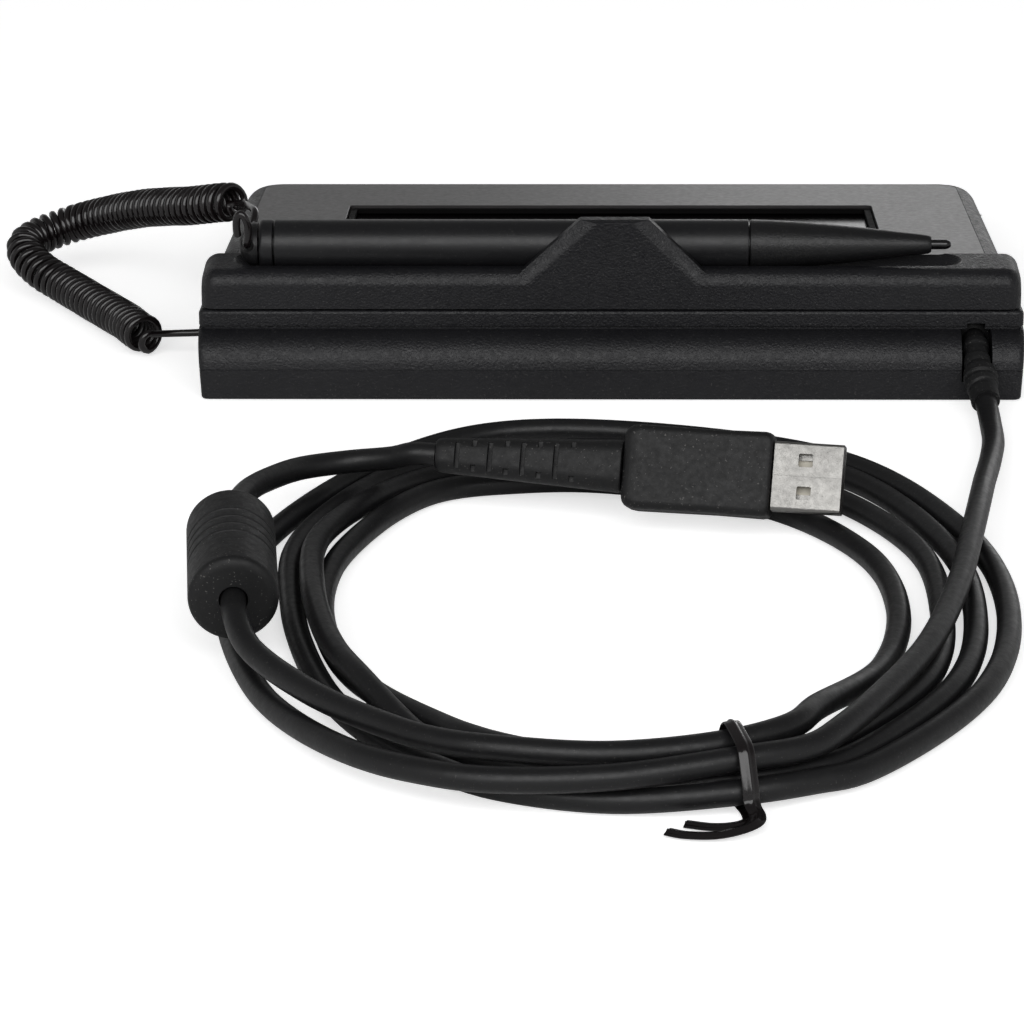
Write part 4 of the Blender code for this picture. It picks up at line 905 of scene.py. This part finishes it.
def make_pen():
    stem, bore, r = 3.6, 3.9, PEN_R
    cap = ((56.0, 1.7), (56.0, stem), (CAP_X[0], stem), (CAP_X[0], r - 0.25), (CAP_X[0] + 0.1, r - 0.08),
           (CAP_X[0] + 0.35, r), (CAP_X[1] - 0.7, r), (CAP_X[1] - 0.3, r - 0.12), (CAP_X[1] - 0.08, r - 0.35),
           (CAP_X[1], r - 0.6), (CAP_X[1], 1.7))
    pen_piece("cap_ring", cap, "pen", "pen_cap")
    low, high = BARREL_X
    barrel = [(low, bore), (low, r - 0.18), (low + 0.08, r - 0.05), (low + 0.3, r),
              (high - 0.3, r), (high - 0.08, r - 0.05), (high, r - 0.18), (high, bore)]
    pen_piece("barrel_tube", barrel, "pen", "pen_barrel")
    tip, joint = NOSE_X
    taper = [(0.35, 1.68), (1.0, 1.82), (3.0, 2.08), (6.0, 2.42), (9.0, 2.76), (12.0, 3.1), (15.0, 3.42),
             (18.0, 3.7), (21.0, 3.96), (24.0, 4.2), (27.0, 4.4), (30.0, 4.56), (32.5, 4.65)]
    nose = [(tip, 1.2), (tip, 1.5)] + [(tip + x, radius) for x, radius in taper]
    nose += [(joint - 0.3, r - 0.01), (joint - 0.08, r - 0.06), (joint, r - 0.2), (joint, stem),
             (joint + 8, stem), (joint + 8, 1.5), (tip + 5, 1.2)]
    pen_piece("nose_cone", nose, "pen_grain", "pen_nose")
    point = ((NIB_X[0], 0.0), (NIB_X[0] + 0.05, 0.3), (NIB_X[0] + 0.2, 0.55), (NIB_X[0] + 0.5, 0.78),
             (NIB_X[0] + 1.0, 0.92), (NIB_X[0] + 2.2, 0.95), (NIB_X[1], 0.95), (NIB_X[1], 0.0))
    pen_piece("writing_tip", point, "nib", "pen_nib", closed=False, sides=40)

    bm = bmesh.new()
    profile = smooth_route([(x, radius, 0) for x, radius in DOME], 0.25)
    spun(bm, [(58.0, 0.0), (58.0, 1.4), (DOME[0][0], 1.4), (DOME[0][0], DOME[0][1] - 0.3)]
         + [(x, radius) for x, radius, _ in profile] + [(DOME[-1][0] + 0.08, 0.5), (DOME[-1][0] + 0.1, 0.0)],
         64, PEN_FRAME)
    lug = to_object("tether_lug", bm, "pen_grain")
    bm = bmesh.new()
    x, z, radius = EYE_HOLE
    across = PEN_FRAME @ Matrix.Translation(Vector((x, 0, z)) * MM) @ Matrix.Rotation(math.pi / 2, 4, "Z")
    spun(bm, ((-6, 0.0), (-6, radius), (6, radius), (6, 0.0)), 40, across)
    combine(lug, bm, "DIFFERENCE")
    settle(lug, "tether_end", ("pen_eyelet",), edge=0.12)


# Pieces on the cable

def make_boot():
    """Bent ribbed sleeve with round ribs and a lipped end."""
    route = np.array([p[:3] for p in BOOT])
    fine = smooth_route([p[:3] for p in BOOT], 0.16)
    along, coarse = lengths_along(fine), lengths_along(route)
    radii = np.interp(along * coarse[-1] / along[-1], coarse, [p[3] for p in BOOT])
    radii = np.convolve(np.pad(radii, 1, mode="edge"), (0.25, 0.5, 0.25), mode="valid")
    rings = []
    for i, centre in enumerate(fine):
        run = at(*fine[min(i + 1, len(fine) - 1)]) - at(*fine[max(i - 1, 0)])
        across = Vector((1, 0, 0))
        across = (across - run * across.dot(run) / run.length_squared).normalized()
        up = run.cross(across).normalized()
        turns = [2 * math.pi * k / 32 for k in range(32)]
        rings.append([at(*centre) + (across * math.cos(t) + up * math.sin(t)) * radii[i] * MM for t in turns])
    bm = bmesh.new()
    loft(bm, rings)
    return settle(to_object("boot_sleeve", bm, "rubber"), "pad", ("cable_boot",), sharp=50)


def make_bead():
    bore, r = 2.4, BEAD_R
    profile = [(2.5, bore), (0.0, bore), (0.0, 5.6), (0.06, 6.2), (0.25, 6.7), (0.5, 7.05), (0.8, 7.25),
               (1.1, 7.36), (1.5, r)]
    for i in range(4):
        x = BEAD_GROOVES + 2.93 * i
        profile += [(x - 0.42, r), (x - 0.3, r - 0.08), (x - 0.22, r - 0.4), (x + 0.22, r - 0.4),
                    (x + 0.3, r - 0.08), (x + 0.42, r)]
    profile += [(BEAD_LONG - x, radius) for x, radius in reversed(profile[1:9])]
    profile += [(BEAD_LONG - 2.5, bore), (BEAD_LONG - 2.5, 6.1), (2.5, 6.1)]
    bm = bmesh.new()
    spun(bm, profile, 72, BEAD, closed=True)
    return settle(to_object("bead_cover", bm, "rubber"), "pad", ("ferrite_cover",), sharp=45)


def plug_ring(x, wide, thick, corner, steps=5):
    """Ring across the plug at station x: wide along its local Y, thick along local Z."""
    outline = rounded_outline((-wide / 2, wide / 2), (-thick / 2, thick / 2), corner, steps)
    return [PLUG @ (Vector((x, w, t)) * MM) for w, t in outline]


def plug_block(bm, middle, size):
    """Plain box in the plug's frame, used to cut."""
    made = bmesh.ops.create_cube(bm, size=1.0)["verts"]
    place = PLUG @ Matrix.Translation(Vector(middle) * MM) @ Matrix.Diagonal((*(Vector(size) * MM), 1))
    bmesh.ops.transform(bm, matrix=place, verts=made)


def make_plug_body():
    bm = bmesh.new()
    sections = [(0.0, 1.3, 1.7), (0.15, 0.7, 1.6), (0.6, 0.25, 1.5), (1.3, 0.0, 1.4), (9.0, 0.25, 1.4),
                (BODY_LONG - 2.6, 0.0, 1.5), (BODY_LONG - 1.4, 0.35, 1.6), (BODY_LONG - 0.6, 1.1, 1.7),
                (BODY_LONG - 0.15, 2.2, 1.6), (BODY_LONG, 3.0, 1.4)]
    loft(bm, [plug_ring(-x, BODY_WIDE - cut, BODY_THICK - cut * 0.8, corner) for x, cut, corner in sections])
    return settle(to_object("plug_grip", bm, "rubber"), "pad", ("plug_body",), sharp=50)


def relief_size(share):
    return [a[1] + (a[0] - a[1]) * share for a in (RELIEF_WIDE, RELIEF_THICK)]


def make_relief():
    start = -BODY_LONG - PLUG_GAP
    bm = bmesh.new()
    rings = []
    for share in (0.0, 0.01, 0.03, 0.1, 0.2, 0.3, 0.4, 0.5, 0.6, 0.7, 0.8, 0.9, 0.97, 0.99, 1.0):
        wide, thick = relief_size(share)
        cut = {0.0: 0.5, 0.01: 0.15, 0.99: 0.15, 1.0: 0.5}.get(share, 0.0)
        rings.append(plug_ring(start - RELIEF_LONG * share, wide - cut, thick - cut,
                               min(wide, thick) * 0.42, 6))
    loft(bm, rings)
    relief = to_object("relief_sleeve", bm, "rubber")
    first, pitch, count = RELIEF_SLOTS
    bm = bmesh.new()
    for i in range(count):
        x = start - first - pitch * i
        wide, thick = relief_size((first + pitch * i) / RELIEF_LONG)
        across, inner = wide / 2 - 0.9, wide / 2 - 1.7
        spans = [(-across, across)] if i % 2 else [(-wide, -inner), (inner, wide)]
        for low, high in spans:
            for side in (-1, 1):
                ends = sorted((side * (thick / 2 - 1.0), side * thick))
                middle = (x, (low + high) / 2, sum(ends) / 2)
                plug_block(bm, middle, (0.85, high - low, ends[1] - ends[0]))
    combine(relief, bm, "DIFFERENCE")
    return settle(relief, "pad", ("plug_relief",), edge=0.15, sharp=45)


def make_shell():
    long, wide, thick = SHELL
    inner_wide, inner_thick = wide - 2 * SHELL_WALL, thick - 2 * SHELL_WALL
    bm = bmesh.new()
    loft(bm, [plug_ring(PLUG_GAP, inner_wide, inner_thick, 0.3), plug_ring(PLUG_GAP, wide, thick, 0.6),
              plug_ring(PLUG_GAP + long, wide, thick, 0.6),
              plug_ring(PLUG_GAP + long, inner_wide, inner_thick, 0.3)], closed=True)
    shell = to_object("plug_tube", bm, "nickel")
    bm = bmesh.new()
    for side in (-1, 1):
        corners = rounded_outline((4.6, 7.1), sorted((side * 1.7, side * 4.0)), 0.3, 3)
        loft(bm, [[PLUG @ (Vector((x, y, z)) * MM) for x, y in corners] for z in (-4, 4)])
    combine(shell, bm, "DIFFERENCE")
    bm = bmesh.new()
    plug_block(bm, (PLUG_GAP + long / 2, 0, thick / 2), (long + 1, *SHELL_SEAM))
    combine(shell, bm, "DIFFERENCE")
    return settle(shell, "pad", ("plug_shell",), edge=0.06)


def make_tie():
    """Coated strip round the bundle; its ends cross on the outer side and lie on the table."""
    angle = math.radians(TIE_AT)
    outward = Vector((math.cos(angle), math.sin(angle), 0))
    across = Vector((-math.sin(angle), math.cos(angle), 0))
    centre = at(0, BUNDLE_V, 0)

    def world(reach, shift, z):
        return outward * reach + across * shift + UP * z

    clear = CABLE_D / 2 + TIE_CLEAR + TIE_THICK / 2
    band = []
    for turn in range(0, 271, 15):
        away = (math.cos(math.radians(turn)), math.sin(math.radians(turn)))
        reach, z = max(BUNDLE[TIE_AT], key=lambda s: s[0] * away[0] + s[1] * away[1])
        band.append(((reach + away[0] * clear, 0.0, z + away[1] * clear), (away[0], 0.0, away[1])))
    stations = [(p, (0, 0, 1)) for p in reversed(TIE_UPPER_TAIL)] + band
    stations += [(p, (0, 0, -1)) for p in TIE_LOWER_TAIL]
    places = smooth_route([p for p, _ in stations], 0.5)
    coarse, fine = lengths_along(np.array([p for p, _ in stations])), lengths_along(places)
    facing = np.array([np.interp(fine * coarse[-1] / fine[-1], coarse, [n[k] for _, n in stations])
                       for k in range(3)]).T
    rib = TIE_THICK / 2
    half = TIE_WIDE / 2
    section = [(half, 0.0), (half - 0.15, 0.16), (rib + 0.2, 0.2)]
    section += [(rib * math.cos(t), rib * math.sin(t)) for t in np.radians((35, 65, 90, 115, 145))]
    section += [(-rib - 0.2, 0.2), (-half + 0.15, 0.16), (-half, 0.0)]
    section += [(w, -h) for w, h in reversed(section[1:-1])]
    rings = []
    for i, (place, normal) in enumerate(zip(places, facing)):
        run = (world(*places[min(i + 1, len(places) - 1)]) - world(*places[max(i - 1, 0)])).normalized()
        wide = run.cross(world(*normal)).normalized()
        thick = wide.cross(run).normalized()
        rings.append([centre + (world(*place) + wide * w + thick * h) * MM for w, h in section])
    bm = bmesh.new()
    loft(bm, rings)
    return settle(to_object("wire_tie", bm, "tether"), "pad", ("cable_tie",), sharp=60)


# Surroundings

def make_surroundings():
    """Pale floor that stays white for the camera, and a studio that is bright low down and dim above."""
    bm = bmesh.new()
    bmesh.ops.create_grid(bm, x_segments=1, y_segments=1, size=FLOOR_SIZE)
    mesh = bpy.data.meshes.new("floor")
    bm.to_mesh(mesh)
    bm.free()
    floor = bpy.data.objects.new("floor", mesh)
    bpy.context.scene.collection.objects.link(floor)
    made = bpy.data.materials.new("pale_floor")
    made.use_nodes = True
    tree = made.node_tree
    shader = tree.nodes["Principled BSDF"]
    shader.inputs["Base Color"].default_value = (FLOOR_TONE, FLOOR_TONE, FLOOR_TONE, 1)
    shader.inputs["Roughness"].default_value = 0.9
    shader.inputs["Specular IOR Level"].default_value = 0.0
    shader.inputs["Emission Color"].default_value = (1, 1, 1, 1)
    paths = tree.nodes.new("ShaderNodeLightPath")
    seen = tree.nodes.new("ShaderNodeMath")
    seen.operation = "MAXIMUM"
    tree.links.new(paths.outputs["Is Camera Ray"], seen.inputs[0])
    tree.links.new(paths.outputs["Is Transmission Ray"], seen.inputs[1])
    glow = tree.nodes.new("ShaderNodeMath")
    glow.operation = "MULTIPLY"
    glow.inputs[1].default_value = FLOOR_GLOW
    tree.links.new(seen.outputs[0], glow.inputs[0])
    tree.links.new(glow.outputs[0], shader.inputs["Emission Strength"])
    mesh.materials.append(made)

    world = bpy.data.worlds.new("studio")
    bpy.context.scene.world = world
    world.use_nodes = True
    tree = world.node_tree
    back = tree.nodes["Background"]
    paths = tree.nodes.new("ShaderNodeLightPath")
    coords = tree.nodes.new("ShaderNodeTexCoord").outputs["Generated"]
    parts = tree.nodes.new("ShaderNodeSeparateXYZ")
    tree.links.new(coords, parts.inputs[0])
    height = spread(tree, parts.outputs["Z"], *BACKDROP)
    strength = tree.nodes.new("ShaderNodeMath")
    strength.operation = "MAXIMUM"
    tree.links.new(height, strength.inputs[0])
    tree.links.new(paths.outputs["Is Camera Ray"], strength.inputs[1])
    tree.links.new(strength.outputs[0], back.inputs["Strength"])
    back.inputs["Color"].default_value = (1, 1, 1, 1)


def area_light(name, place, target, size, power):
    data = bpy.data.lights.new(name, "AREA")
    data.shape = "RECTANGLE"
    data.size, data.size_y = size
    data.energy = power
    lamp = bpy.data.objects.new(name, data)
    bpy.context.scene.collection.objects.link(lamp)
    lamp.location = place
    lamp.rotation_mode = "QUATERNION"
    lamp.rotation_quaternion = (Vector(place) - Vector(target)).to_track_quat("Z", "Y")


def dress_inner_nodes():
    """Carried-over solids get their finishes from the record's slots, apart from a few."""
    slots = {row["node"]: row["material_slot"] for row in frame["record"]["subparts"]}
    for name, node in frame["nodes"].items():
        if not node.hide_render:
            node.data.materials.clear()
            node.data.materials.append(FINISH[INNER_FINISH.get(name, slots[name])])


def main():
    make_camera()
    make_tether()
    boot, bead = make_boot(), make_bead()
    ends = [make_plug_body(), make_relief(), make_shell()]
    tie = make_tie()
    make_cable()
    make_upper_case()
    make_lower_case()
    make_feet()
    make_plate()
    make_pen()
    make_surroundings()
    for lamp in LAMPS:
        area_light(*lamp)
    dress_inner_nodes()
    view = bpy.context.scene.view_settings
    view.view_transform = "Standard"


main()
